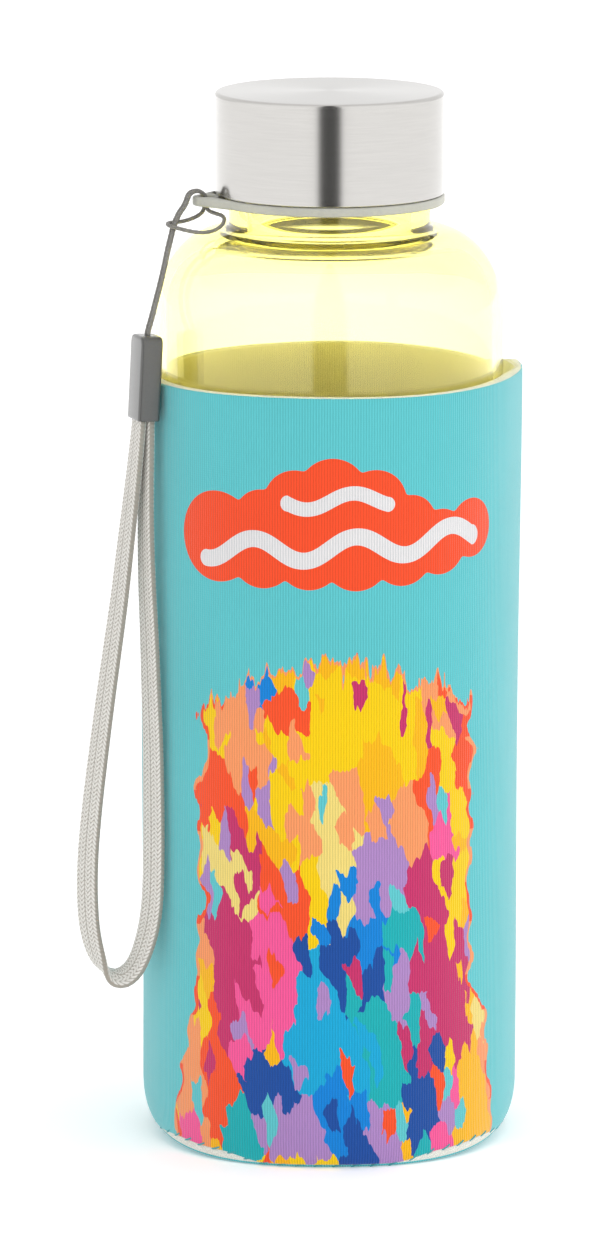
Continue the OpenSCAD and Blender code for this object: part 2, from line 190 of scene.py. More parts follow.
# %% Lug cord
CORD_D = 0.75
CORD_ROUTE = [
    (-34.0, -17.3, 155.6), (-33.9, -17.1, 157.2), (-33.2, -16.1, 159.7), (-32.4, -14.9, 162.7),
    (-31.6, -13.6, 165.7), (-30.9, -12.3, 168.6), (-30.3, -10.9, 171.4), (-29.7, -9.6, 173.8),
    (-29.1, -8.3, 176.0), (-28.2, -6.9, 178.0), (-27.2, -5.9, 179.4), (-26.7, -5.6, 180.5),
    (-26.4, -5.4, 181.3), (-25.8, -5.2, 181.9), (-25.0, -4.9, 182.1), (-24.2, -4.6, 181.9),
    (-23.6, -4.4, 181.4), (-23.3, -4.3, 180.7), (-23.2, -4.3, 179.9), (-23.2, -4.6, 179.0),
    (-22.6, -5.4, 178.4), (-21.4, -6.6, 178.1), (-20.3, -8.0, 177.9), (-19.8, -9.3, 177.4),
    (-20.2, -10.2, 176.5), (-21.4, -10.6, 175.6), (-23.2, -10.6, 175.1), (-25.2, -10.3, 175.1),
    (-27.1, -9.8, 175.4), (-28.8, -9.5, 175.8), (-30.1, -8.9, 176.1), (-30.5, -7.9, 176.3),
    (-30.1, -6.9, 176.4), (-29.0, -6.2, 176.4), (-27.6, -5.5, 176.5), (-26.2, -4.7, 176.8),
    (-24.9, -3.9, 177.3), (-24.0, -3.4, 178.0), (-23.6, -3.3, 179.0), (-23.5, -3.3, 180.0),
    (-23.6, -3.4, 180.8), (-24.0, -3.5, 181.5), (-24.6, -3.7, 182.0), (-25.4, -4.0, 182.1),
    (-26.2, -4.3, 181.9), (-26.8, -4.5, 181.3), (-27.1, -4.7, 180.5), (-27.6, -5.0, 179.4),
    (-28.6, -6.0, 178.0), (-29.5, -7.4, 176.0), (-30.1, -8.7, 173.8), (-30.7, -10.0, 171.4),
    (-31.3, -11.4, 168.6), (-32.0, -12.7, 165.7), (-32.8, -14.0, 162.7), (-33.6, -15.2, 159.7),
    (-34.3, -16.2, 157.2), (-34.4, -16.4, 155.6),
]


def braided_tube(name, route, diameter, spacing=0.2, sides=16):
    """A round cord along a route, with the crossing strands of its braid raised on it."""
    samples, length = even_path(route, spacing)
    path = [Vector(p) * MM for p in samples]
    ahead = directions(path)
    side = ahead[0].orthogonal()
    rows, uv_rows = [], []
    for i, point in enumerate(path):
        side = square_to(side, ahead[i])
        across = ahead[i].cross(side)
        run = length * i / (len(path) - 1)
        row = []
        for j in range(sides):
            turn = 2 * math.pi * j / sides
            lay = 2 * math.pi * run / (1.6 * diameter)
            braid = math.cos(4 * turn + lay) + math.cos(4 * turn - lay)
            r = diameter / 2 * MM * (0.98 + 0.03 * braid)
            row.append(point + r * (math.cos(turn) * side + math.sin(turn) * across))
        rows.append(row)
        uv_rows.append([(math.pi * diameter * MM * j / sides, run * MM) for j in range(sides + 1)])
    mesh = grid_mesh(name, rows, uv_rows, caps=True)
    face_outwards(mesh)
    return add_piece(name, mesh), path, length * MM


hitched_cord, cord_path, cord_length = braided_tube("hitched_cord", CORD_ROUTE, CORD_D)
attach(hitched_cord, "cord")
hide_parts("lug_cord")
print("lug cord:", round(cord_length, 4), "m")

# %% [markdown]
# ## The wrist loop
#
# The loop is a flat braid five millimetres wide. Such a braid is a row of narrow columns of plaits that
# lean to either side in turn, like ears of wheat, and its edges are scalloped where the yarn turns back.
# A flat strap with a bump map would look cut from sheet, so the plaits are relief in the mesh: the swept
# section moves in and out with the pattern. The band also turns on its way, from edge-on at the clasp to
# nearly flat at the bottom of the loop, so each route point carries the direction of its wide side.

# %% Wrist loop route
BAND_W, BAND_T = 5.0, 1.6
# x, y, z, the plan turn of the wide side (from +Y towards -X) and its tilt
BAND_ROUTE = [
    (-35.3, -17.2, 150.8, 21, 0), (-35.5, -17.3, 145.5, 21, 0), (-35.8, -17.4, 140.3, 21, 0),
    (-36.3, -17.4, 135, 23, 0), (-37.3, -17.3, 126, 27, 0), (-38.5, -17.1, 116, 31, 0),
    (-39.7, -16.9, 106, 34, 0), (-41.1, -16.7, 96, 37, 0), (-42.5, -16.5, 86, 39, 0),
    (-43.8, -16.4, 76, 41, 0), (-45, -16.3, 66, 43, 2), (-45.8, -16.3, 57, 45, 5),
    (-46, -16.4, 49, 47, 9), (-45.5, -16.5, 42, 46, 14), (-44, -16.8, 36.6, 40, 20),
    (-41.7, -17.2, 33.6, 30, 26), (-39.2, -17.6, 33.2, 26, 30), (-37, -18, 35.2, 32, 28),
    (-35.3, -18.4, 39.2, 40, 22), (-34.1, -18.6, 44.2, 46, 14), (-33.5, -18.6, 50, 48, 7),
    (-33.3, -18.6, 59, 48, 2), (-33.3, -18.5, 69, 46, 0), (-33.4, -18.4, 79, 43, 0),
    (-33.7, -18.2, 89, 40, 0), (-34, -17.9, 99, 37, 0), (-34.4, -17.6, 109, 33, 0),
    (-34.6, -17.3, 119, 29, 0), (-34.5, -17, 128, 25, 0), (-34.3, -16.9, 135, 22, 0),
    (-34.2, -16.8, 140.2, 21, 0), (-33.9, -16.7, 145.5, 21, 0), (-33.7, -16.6, 150.7, 21, 0),
]
PLAIT_PITCH, PLAIT_COLUMNS = 0.85, 6
# how far the plaits rise on the wide faces, and how deep the scallops of the edges are
PLAIT_H, SCALLOP_H = 0.17, 0.16
print("route points:", len(BAND_ROUTE))

# %% Wrist loop
def plait(across, run):
    """Height of the braid, 0 in a groove to 1 on a plait. across is -1 to 1 over the width, run in mm."""
    place = (across + 1) / 2 * PLAIT_COLUMNS
    column = min(PLAIT_COLUMNS - 1, int(place))
    inside = place - column - 0.5
    lean = inside if column % 2 == 0 else -inside
    yarn = abs(math.sin(math.pi * (run / PLAIT_PITCH + 1.1 * lean)))
    rib = math.cos(math.pi * inside)
    return yarn ** 0.7 * (0.3 + 0.7 * rib ** 0.6)


def make_wrist_loop(spacing=0.165, around=64):
    samples, length = even_path(BAND_ROUTE, spacing)
    path = [Vector(p[:3]) * MM for p in samples]
    ahead = directions(path)
    rows, uv_rows, painted_shade_levels = [], [], []
    for i, point in enumerate(path):
        turn, tilt = math.radians(samples[i][3]), math.radians(samples[i][4])
        wide = Vector((-math.sin(turn) * math.cos(tilt), math.cos(turn) * math.cos(tilt), math.sin(tilt)))
        wide = square_to(wide, ahead[i])
        thin = ahead[i].cross(wide)
        run = length * i / (len(path) - 1)
        row = []
        for j in range(around):
            # the section is a superellipse, flat on its faces and soft at its edges
            face = 1 if j < around / 2 else -1
            across = face * math.sin(math.pi / 2 * (1 - 4 * (j % (around // 2)) / around))
            through = face * max(0, 1 - abs(across) ** 3.3) ** 0.21
            height = plait(across, run if face > 0 else run + PLAIT_PITCH / 2)
            edge = abs(across) > 0.97
            scallop = abs(math.sin(math.pi * run / PLAIT_PITCH)) - 0.6
            out_w = BAND_W / 2 - 0.05 + (SCALLOP_H * scallop if edge else 0)
            out_t = BAND_T / 2 - 0.14 + (0 if edge else PLAIT_H * height)
            row.append(point + MM * (across * out_w * wide + through * out_t * thin))
            # painted shade: the grooves between the plaits and the band's narrow edges get low values, which
            # the yarn finish turns darker
            painted_shade_levels.append(height * (0.35 if edge else 1.0))
        rows.append(row)
        uv_rows.append([(0.012 * j / around, run * MM) for j in range(around + 1)])
    mesh = grid_mesh("wrist_loop", rows, uv_rows, caps=True)
    face_outwards(mesh)
    mesh.attributes.new("plait", "FLOAT", "POINT").data.foreach_set("value", painted_shade_levels)
    return add_piece("wrist_loop", mesh), path, length * MM


wrist_loop, loop_path, loop_length = make_wrist_loop()
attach(wrist_loop, "grip")
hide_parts("strap_webbing")
print("wrist loop:", round(loop_length, 4), "m")

# %% [markdown]
# ## Writing node trees in code
#
# A node tree is easier to read in code when its arithmetic looks like arithmetic. `add` makes one node and
# plugs its inputs. A `Field` is a number that nodes work out, and adding or multiplying fields adds the
# Math nodes behind them. The same two tools write the materials and the geometry trees.

# %% Node helpers
def plug(tree, socket, value):
    """Gives a node's input a value, or links it to another node's output."""
    if isinstance(value, Field):
        value = value.socket
    if isinstance(value, bpy.types.NodeSocket):
        tree.links.new(value, socket)
    else:
        socket.default_value = value


def add(tree, kind, inputs=None, **settings):
    node = tree.nodes.new(kind)
    for name, value in settings.items():
        setattr(node, name, value)
    for key, value in (inputs or {}).items():
        plug(tree, node.inputs[key], value)
    return node


class Field:
    """A number that nodes work out."""

    def __init__(self, tree, socket):
        self.tree = tree
        self.socket = socket

    def math(self, operation, *others):
        node = add(self.tree, "ShaderNodeMath", operation=operation)
        for socket, value in zip(node.inputs, (self, *others)):
            plug(self.tree, socket, value)
        return Field(self.tree, node.outputs[0])

    def __add__(self, other):
        return self.math("ADD", other)

    __radd__ = __add__

    def __sub__(self, other):
        return self.math("SUBTRACT", other)

    def __rsub__(self, other):
        return self.math("MULTIPLY", -1.0) + other

    def __mul__(self, other):
        return self.math("MULTIPLY", other)

    __rmul__ = __mul__

    def __truediv__(self, other):
        return self.math("DIVIDE", other)

    def sin(self):
        return self.math("SINE")

    def abs(self):
        return self.math("ABSOLUTE")

    def least(self, other):
        return self.math("MINIMUM", other)

    def most(self, other):
        return self.math("MAXIMUM", other)

    def over(self, other):
        return self.math("GREATER_THAN", other)

    def ramp(self, start, end):
        """0 below start and 1 above end, with a soft rise between them."""
        node = add(self.tree, "ShaderNodeMapRange", {"Value": self, "From Min": start, "From Max": end},
                   interpolation_type="SMOOTHSTEP")
        return Field(self.tree, node.outputs["Result"])


print("node helpers are ready")

# %% Material helpers
def srgb(code):
    """A colour from six hex digits, in the linear values that shaders use."""
    parts = [int(code[i:i + 2], 16) / 255 for i in (0, 2, 4)]
    return tuple(p / 12.92 if p <= 0.04045 else ((p + 0.055) / 1.055) ** 2.4 for p in parts) + (1.0,)


def new_finish(name, **constants):
    """A material with a Principled shader whose own sockets hold the constant values."""
    material = bpy.data.materials.new(name)
    material.use_nodes = True
    tree = material.node_tree
    shader = tree.nodes["Principled BSDF"]
    for key, value in constants.items():
        shader.inputs[key.replace("_", " ")].default_value = value
    return material, tree, shader


def place(tree, scale=(1, 1, 1), source="Object"):
    """Coordinates in metres times scale: the object's own, or its UV map."""
    coords = add(tree, "ShaderNodeTexCoord")
    return add(tree, "ShaderNodeMapping", {"Vector": coords.outputs[source], "Scale": scale}).outputs[0]


def coordinates(tree, source):
    """The three coordinates as fields."""
    coords = add(tree, "ShaderNodeTexCoord")
    parts = add(tree, "ShaderNodeSeparateXYZ", {"Vector": coords.outputs[source]})
    return [Field(tree, socket) for socket in parts.outputs]


def noise(tree, vector, detail=2.0, rough=0.5):
    node = add(tree, "ShaderNodeTexNoise",
               {"Vector": vector, "Scale": 1.0, "Detail": detail, "Roughness": rough})
    return Field(tree, node.outputs["Fac"])


def mix_colour(tree, factor, a, b, blend="MIX"):
    node = add(tree, "ShaderNodeMix", data_type="RGBA", blend_type=blend)
    plug(tree, node.inputs[0], factor)
    plug(tree, node.inputs[6], a)
    plug(tree, node.inputs[7], b)
    return node.outputs[2]


def raise_surface(tree, shader, height, distance, strength=1.0):
    """Bump from a height field. distance is the height's real size in metres."""
    bump = add(tree, "ShaderNodeBump", {"Height": height, "Distance": distance, "Strength": strength})
    tree.links.new(bump.outputs[0], shader.inputs["Normal"])


def paint(piece, *materials):
    piece.data.materials.clear()
    for material in materials:
        piece.data.materials.append(material)


print("material helpers are ready")

# %% [markdown]
# ## Yarn finishes
#
# The strap is off-white polyester: each plait holds a dozen fine filaments, and painted shade darkens the
# grooves between the plaits and the band's narrow edges. The filaments run along the plait, so a fine
# stretched noise on the UV map draws them. A little sheen gives the pale fringe that yarn shows when light
# grazes it. The lug cord is the same kind of yarn in dark grey. The sewing thread is smooth and tightly
# twisted.

# %% Yarn finishes
def yarn_finish(name, pale, deep, fibre=(9000, 2500, 1), depth=0.00004, groove=None):
    material, tree, shader = new_finish(name, Roughness=0.82, Sheen_Weight=0.25, Sheen_Roughness=0.5,
                                        Specular_IOR_Level=0.3)
    fine = noise(tree, place(tree, fibre, "UV"), detail=3)
    broad = noise(tree, place(tree, (420, 420, 420)), detail=2)
    shade = (fine * 0.85 + broad * 0.15).ramp(0.3, 0.62)
    colour = mix_colour(tree, shade, srgb(deep), srgb(pale))
    if groove:
        # painted shade: a low plait value, in a groove or on a narrow edge, turns the colour to the darker
        # groove colour
        plait_shade_level = Field(tree, add(tree, "ShaderNodeAttribute", attribute_name="plait").outputs["Fac"])
        colour = mix_colour(tree, plait_shade_level.ramp(0.1, 0.8), srgb(groove), colour)
    plug(tree, shader.inputs["Base Color"], colour)
    plug(tree, shader.inputs["Roughness"], fine * 0.2 + 0.72)
    raise_surface(tree, shader, fine, depth)
    return material


# the groove colour is painted shade for the band's grooves and narrow edges
band_yarn = yarn_finish("off_white_yarn", "e9e7e2", "d6d3cc", groove="a19b91")
cord_yarn = yarn_finish("dark_grey_yarn", "93918c", "63615d", depth=0.00002)
paint(wrist_loop, band_yarn)
paint(hitched_cord, cord_yarn)
print("yarns:", band_yarn.name, cord_yarn.name)

# %% [markdown]
# ## Spun walls with Geometry Nodes
#
# The glass, the steel cup, its plastic liner and the gasket are all spun: one outline turned round the
# bottle's axis. A Screw modifier could do that, but a small Geometry Nodes tree can also raise the screw
# thread on the same wall. The tree makes a flat grid, one column for each step of the turn and one row for
# each outline point, and then moves every point to its outline point, turned by its column's angle. The
# outline carries a number called thread. Where it isn't zero, the radius rises along a helix.

# %% Spin tree
def new_geometry_tree(name, inputs):
    """An empty tree with a geometry input and output, and named inputs after them."""
    tree = bpy.data.node_groups.new(name, "GeometryNodeTree")
    tree.interface.new_socket("Geometry", in_out="INPUT", socket_type="NodeSocketGeometry")
    for label, kind in inputs.items():
        tree.interface.new_socket(label, in_out="INPUT", socket_type="NodeSocket" + kind)
    tree.interface.new_socket("Geometry", in_out="OUTPUT", socket_type="NodeSocketGeometry")
    return tree, add(tree, "NodeGroupInput").outputs, add(tree, "NodeGroupOutput")


def sample(tree, geometry, value, index, kind="FLOAT"):
    node = add(tree, "GeometryNodeSampleIndex", data_type=kind)
    for key, given in (("Geometry", geometry), ("Value", value), ("Index", index)):
        plug(tree, node.inputs[key], given)
    return node.outputs["Value"]


def make_spin_tree():
    tree, given, out = new_geometry_tree("spin_wall", {
        "Segments": "Int", "Thread start": "Float", "Thread pitch": "Float", "Thread turns": "Float",
        "Thread depth": "Float", "Thread root": "Float", "Thread crest": "Float", "Finish": "Material"})
    size = add(tree, "GeometryNodeAttributeDomainSize", {"Geometry": given["Geometry"]}, component="MESH")
    rows = Field(tree, size.outputs["Point Count"])
    segments = Field(tree, given["Segments"])
    grid = add(tree, "GeometryNodeMeshGrid", {"Vertices X": segments + 1, "Vertices Y": rows})
    index = Field(tree, add(tree, "GeometryNodeInputIndex").outputs[0])
    column = (index / rows + 1e-4).math("FLOOR")
    row = index - column * rows
    turn = column / segments
    where = sample(tree, given["Geometry"], add(tree, "GeometryNodeInputPosition").outputs[0], row,
                   "FLOAT_VECTOR")
    flag = add(tree, "GeometryNodeInputNamedAttribute", {"Name": "thread"}, data_type="FLOAT")
    side = Field(tree, sample(tree, given["Geometry"], flag.outputs["Attribute"], row))
    parts = add(tree, "ShaderNodeSeparateXYZ", {"Vector": where})
    radius, height = Field(tree, parts.outputs[0]), Field(tree, parts.outputs[2])
    # how many turns up the helix this height is, and how far from the ridge's middle
    pitch = Field(tree, given["Thread pitch"])
    climb = (height - Field(tree, given["Thread start"])) / pitch - turn
    lap = climb.math("ROUND")
    off = (climb - lap).abs() * pitch
    done = turn + lap
    left = Field(tree, given["Thread turns"]) - done
    fade = done.least(left).ramp(-0.01, 0.09)
    ridge = 1.0 - off.ramp(Field(tree, given["Thread crest"]) / 2, Field(tree, given["Thread root"]) / 2)
    radius = radius + side * ridge * fade * Field(tree, given["Thread depth"])
    flat = add(tree, "ShaderNodeCombineXYZ", {"X": radius, "Z": height})
    spun = add(tree, "ShaderNodeVectorRotate", {"Vector": flat.outputs[0], "Angle": turn * (2 * math.pi)},
               rotation_type="Z_AXIS")
    moved = add(tree, "GeometryNodeSetPosition", {
        "Geometry": grid.outputs["Mesh"], "Position": spun.outputs[0]})
    closed = add(tree, "GeometryNodeMergeByDistance", {"Geometry": moved.outputs[0], "Distance": 1e-6})
    smooth = add(tree, "GeometryNodeSetShadeSmooth", {"Geometry": closed.outputs[0]})
    real = add(tree, "GeometryNodeRealizeInstances", {"Geometry": smooth.outputs[0]})
    done = add(tree, "GeometryNodeSetMaterial", {"Geometry": real.outputs[0], "Material": given["Finish"]})
    tree.links.new(done.outputs[0], out.inputs[0])
    return tree


spin_tree = make_spin_tree()
print("spin tree nodes:", len(spin_tree.nodes))

# %% Run a geometry tree
def run_tree(name, source, tree, values):
    """Puts the tree on a source mesh, sets its named inputs, and keeps the result as a plain mesh."""
    carrier = add_piece(name + "_source", source)
    modifier = carrier.modifiers.new("shape", "NODES")
    modifier.node_group = tree
    sockets = {s.name: s.identifier for s in tree.interface.items_tree if s.in_out == "INPUT"}
    for label, value in values.items():
        modifier[sockets[label]] = value
    bpy.context.view_layer.update()
    shown = carrier.evaluated_get(bpy.context.evaluated_depsgraph_get())
    mesh = bpy.data.meshes.new_from_object(shown)
    mesh.name = name
    bpy.data.objects.remove(carrier)
    return add_piece(name, mesh)


def arc(cx, cz, rx, rz, a0, a1, n):
    """Points along an elliptic arc, angles in degrees."""
    angles = [math.radians(a0 + (a1 - a0) * i / n) for i in range(n + 1)]
    return [(cx + rx * math.cos(a), cz + rz * math.sin(a)) for a in angles]


def rounded(corners, steps=5):
    """An outline through corners (r, z, fillet radius), all in millimetres. The first and last stay sharp."""
    outline = []
    for i, (r, z, fillet) in enumerate(corners):
        here = Vector((r, z))
        if fillet == 0 or i in (0, len(corners) - 1):
            outline.append((r, z))
            continue
        back = (Vector(corners[i - 1][:2]) - here).normalized()
        on = (Vector(corners[i + 1][:2]) - here).normalized()
        half = back.angle(on) / 2
        middle = here + (back + on).normalized() * (fillet / math.sin(half))
        start = here + back * (fillet / math.tan(half)) - middle
        end = here + on * (fillet / math.tan(half)) - middle
        sweep = start.angle_signed(end)
        for k in range(steps + 1):
            t = -sweep * k / steps
            outline.append((middle.x + start.x * math.cos(t) - start.y * math.sin(t),
                            middle.y + start.x * math.sin(t) + start.y * math.cos(t)))
    return outline


def stretch(start, end, step):
    """Evenly spaced points on a straight run, both ends left out."""
    a, b = Vector(start), Vector(end)
    count = max(1, round((b - a).length / step))
    return [tuple(a.lerp(b, i / count)) for i in range(1, count)]


THREAD = {"Thread start": 0.0, "Thread pitch": 1.0, "Thread turns": 0.0, "Thread depth": 0.0,
          "Thread root": 1.0, "Thread crest": 0.5}


def spin(name, outline, finish, threaded=(), side=1.0, segments=144, **thread):
    """A spun wall from an outline in millimetres. threaded is the range of outline points with a thread."""
    mesh = bpy.data.meshes.new(name + "_outline")
    edges = [(i, i + 1) for i in range(len(outline) - 1)]
    mesh.from_pydata([(r * MM, 0, z * MM) for r, z in outline], edges, [])
    flag = mesh.attributes.new("thread", "FLOAT", "POINT")
    flag.data.foreach_set("value", [side if i in threaded else 0.0 for i in range(len(outline))])
    values = {"Segments": segments, "Finish": finish, **THREAD, **thread}
    piece = run_tree(name, mesh, spin_tree, values)
    face_outwards(piece.data)
    print(name + ":", len(piece.data.polygons), "faces")
    return piece


print("spinning is ready")

# %% [markdown]
# ## Glass finish
#
# Pale yellow soda-lime glass. Part of the tint is on the shader's colour, like a lacquer that is the same
# on thick and thin walls, and keeps the body even from edge to edge. The rest comes from Volume Absorption:
# light loses blue on its way through, and more of it where it runs far along the wall, which makes the
# deeper yellow rings at the neck. A trace of diffuse light stands for the haze of a printed or washed
# surface. A very slow wave in the wall bends reflections as blown glass does.

# %% Glass finish
def make_glass():
    material, tree, shader = new_finish("yellow_glass", Transmission_Weight=0.97, IOR=1.5, Roughness=0.0)
    shader.inputs["Base Color"].default_value = (1.0, 0.97, 0.77, 1.0)
    tint = add(tree, "ShaderNodeVolumeAbsorption", {"Color": (1.0, 0.957, 0.0, 1.0), "Density": 130.0})
    tree.links.new(tint.outputs[0], tree.nodes["Material Output"].inputs["Volume"])
    wave = noise(tree, place(tree, (60, 60, 25)), detail=1)
    raise_surface(tree, shader, wave, 0.00012)
    return material


yellow_glass = make_glass()
print("glass:", yellow_glass.name)

# %% [markdown]
# ## The glass body
#
# A straight wall, a soft shoulder, a short neck with a step, and one and a half turns of raised thread up
# to a rounded lip. The wall is a real wall with an inner and an outer face, because only that bends light
# properly. The outline follows the CAD sizes, and the long runs get more points than the CAD outline has,
# so the thread and the wave of the glass have something to move.

# %% Glass body
glass_lo, glass_hi = span("glass_body")
GLASS_R = glass_hi.x
GLASS_Z0, LIP_Z = glass_lo.z, glass_hi.z
WALL, FLOOR, HEEL_R = 2.0, 4.0, 5.0
STRAIGHT_H, SHOULDER_H = 156.0, 16.0
PUSH_UP, PUSH_UP_R = 1.2, 26
SHOULDER_Z = GLASS_Z0 + STRAIGHT_H
NECK_Z = SHOULDER_Z + SHOULDER_H
NECK_R, NECK_STEP, NECK_FILLET = 19.1, 1.2, 0.9
BORE_R = 15.4
LIP_R = 0.8
THREAD_Z = LIP_Z - 10.4
GLASS_THREAD = {"Thread start": THREAD_Z * MM, "Thread pitch": 4 * MM, "Thread turns": 1.5}


def glass_outline():
    root_r = NECK_R + NECK_FILLET
    thread_r = NECK_R - NECK_STEP
    bead_z = THREAD_Z - 4.4
    floor_z = GLASS_Z0 + FLOOR
    in_turn = 4.5
    in_shoulder_h = SHOULDER_H - WALL - 0.5
    in_neck_z = SHOULDER_Z + in_shoulder_h + in_turn
    in_r = GLASS_R - WALL
    in_heel = HEEL_R - WALL / 2
    # the base is pushed up a little in the middle and stands on its rim
    outside = [(r, GLASS_Z0 + PUSH_UP * (1 - (r / PUSH_UP_R) ** 2)) for r in range(0, PUSH_UP_R, 3)]
    outside += arc(GLASS_R - HEEL_R, GLASS_Z0 + HEEL_R, HEEL_R, HEEL_R, -90, 0, 12)
    outside += stretch((GLASS_R, GLASS_Z0 + HEEL_R), (GLASS_R, SHOULDER_Z), 5)
    outside += arc(root_r, SHOULDER_Z, GLASS_R - root_r, SHOULDER_H, 0, 86, 26)
    outside += arc(root_r, NECK_Z + NECK_FILLET, NECK_FILLET, NECK_FILLET, -100, -180, 6)
    outside += [(NECK_R, bead_z - 0.8)] + arc(NECK_R - 0.5, bead_z - 0.3, 0.5, 0.5, 0, 50, 4)
    outside += [(thread_r + 0.15, bead_z + NECK_STEP - 0.1)]
    first = len(outside)
    outside += [(thread_r, bead_z + NECK_STEP + 0.1)]
    outside += stretch((thread_r, bead_z + NECK_STEP + 0.1), (thread_r, LIP_Z - LIP_R), 0.25)
    last = len(outside)
    outside += arc(thread_r - LIP_R, LIP_Z - LIP_R, LIP_R, LIP_R, 0, 90, 6)
    inside = arc(BORE_R + LIP_R, LIP_Z - LIP_R, LIP_R, LIP_R, 90, 180, 6)
    inside += stretch((BORE_R, LIP_Z - LIP_R), (BORE_R, in_neck_z), 4)
    inside += arc(BORE_R + in_turn, in_neck_z, in_turn, in_turn, 180, 262, 7)
    inside += arc(BORE_R + in_turn, SHOULDER_Z, in_r - BORE_R - in_turn, in_shoulder_h, 86, 0, 26)
    inside += stretch((in_r, SHOULDER_Z), (in_r, floor_z + in_heel), 5)
    inside += arc(in_r - in_heel, floor_z + in_heel, in_heel, in_heel, 0, -90, 10)
    return outside + inside + [(12, floor_z + 0.1), (0, floor_z + 0.3)], range(first, last)


outline, threaded = glass_outline()
glass = spin("spun_glass", outline, yellow_glass, threaded, segments=192, **GLASS_THREAD,
             **{"Thread depth": 1.1 * MM, "Thread root": 2.2 * MM, "Thread crest": 0.8 * MM})
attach(glass, "bottle")
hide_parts("glass_body")

# %% [markdown]
# ## Steel cap finish
#
# The cup is pressed from half-millimetre stainless sheet and brushed on a lathe: the scratches run round
# the side and in rings on the top. The scratch pattern reads one number, the radius plus the height, which
# draws both. Brushed metal smears a reflection across its scratches, so the shader is anisotropic with a
# tangent that runs round the axis.

# %% Steel cap finish
def make_brushed_steel():
    material, tree, shader = new_finish("brushed_steel", Metallic=1.0, Anisotropic=0.6,
                                        Anisotropic_Rotation=0.25)
    x, y, z = coordinates(tree, "Object")
    radius = (x * x + y * y).math("SQRT")
    stripe = add(tree, "ShaderNodeCombineXYZ", {"X": x * 120, "Y": y * 120, "Z": (radius + z) * 9000})
    scratch = noise(tree, stripe.outputs[0], detail=4, rough=0.7)
    colour = mix_colour(tree, scratch.ramp(0.3, 0.7), srgb("b7b5b2"), srgb("bfbdba"))
    plug(tree, shader.inputs["Base Color"], colour)
    plug(tree, shader.inputs["Roughness"], scratch * 0.05 + 0.18)
    tangent = add(tree, "ShaderNodeTangent", direction_type="RADIAL", axis="Z")
    tree.links.new(tangent.outputs[0], shader.inputs["Tangent"])
    raise_surface(tree, shader, scratch, 0.000003, 0.4)
    return material


brushed_steel = make_brushed_steel()
print("steel:", brushed_steel.name)

# %% [markdown]
# ## The steel cup
#
# A deep-drawn cup has a flat top with the least crown, a rounded shoulder, and a lower edge that is
# trimmed and rolled in a little, so it isn't sharp in the hand. Its wall is the same sheet all round.

# %% Steel cup
shell_lo, shell_hi = span("cap_shell")
CAP_R = shell_hi.x
SHELL_T, EDGE_R = 0.5, 0.75


def cup_outline():
    z0, z1 = shell_lo.z, shell_hi.z
    in_r = CAP_R - SHELL_T
    crown, edge_z = 0.12, z1 - 0.12 - EDGE_R
    out = [(0, z1), (CAP_R * 0.6, z1 - 0.03)]
    out += stretch((CAP_R * 0.6, z1 - 0.03), (CAP_R - 0.9, z1 - crown), 2.5)
    out += arc(CAP_R - EDGE_R, edge_z, EDGE_R, EDGE_R, 90, 0, 9)
    out += stretch((CAP_R, edge_z), (CAP_R, z0 + 0.5), 2.5)
    out += arc(CAP_R - 0.3, z0 + 0.3, 0.3, 0.3, 0, -90, 4)
    out += arc(CAP_R - 0.42, z0 + 0.18, 0.18, 0.18, -90, -180, 3)
    out += [(in_r, z0 + 0.9)] + stretch((in_r, z0 + 0.9), (in_r, z1 - 1.5), 4)
    out += arc(CAP_R - 1.4, z1 - 1.5, 0.9, 0.9, 0, 90, 6)
    return out + [(0, z1 - SHELL_T)]


cup = spin("pressed_cup", cup_outline(), brushed_steel, segments=192)
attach(cup, "cap")
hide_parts("cap_shell")

# %% [markdown]
# ## Moulded plastics and the gasket
#
# The liner carries the inner thread and snaps into the strap ring. It is milky polypropylene, which lets a
# little light in below its skin, so it gets some subsurface scattering. The ring is a satin grey plastic,
# and the clasp a darker one with the fine grain of a spark-eroded mould. The gasket is clear-white silicone.

# %% Plastic finishes
def plastic_finish(name, colour, roughness, grain, depth, mottle=0.06, **constants):
    material, tree, shader = new_finish(name, **constants)
    fine = noise(tree, place(tree, (grain, grain, grain)), detail=3)
    cloud = noise(tree, place(tree, (130, 130, 130)), detail=3)
    base = srgb(colour)
    dark = tuple(c * (1 - 3 * mottle) for c in base[:3]) + (1.0,)
    mottled = (cloud * 0.6 + fine * 0.4).ramp(0.3, 0.65)
    plug(tree, shader.inputs["Base Color"], mix_colour(tree, mottled, dark, base))
    plug(tree, shader.inputs["Roughness"], fine * 0.16 + (roughness - 0.08))
    raise_surface(tree, shader, fine, depth)
    return material


liner_plastic = plastic_finish("milky_liner", "f2f1ec", 0.4, 900, 0.00001, 0.03, Subsurface_Weight=0.3,
                               Subsurface_Radius=(0.002, 0.0018, 0.0015), Subsurface_Scale=0.5)
ring_plastic = plastic_finish("satin_ring_grey", "bcbcb2", 0.42, 1500, 0.000012, 0.04)
clasp_plastic = plastic_finish("satin_clasp_grey", "474745", 0.36, 2600, 0.00001, 0.05,
                               Coat_Weight=1.0, Coat_Roughness=0.25)
silicone = plastic_finish("white_silicone", "eceae4", 0.55, 700, 0.00001, 0.03, Subsurface_Weight=0.5,
                          Subsurface_Radius=(0.003, 0.003, 0.003), Subsurface_Scale=0.4)
print("plastics: 4")

# %% Liner and gasket
liner_lo, liner_hi = span("cap_liner")
LINER_R, LINER_IN_R, SKIRT_R, SNAP_R = liner_hi.x, 19.45, 20.2, 20.6


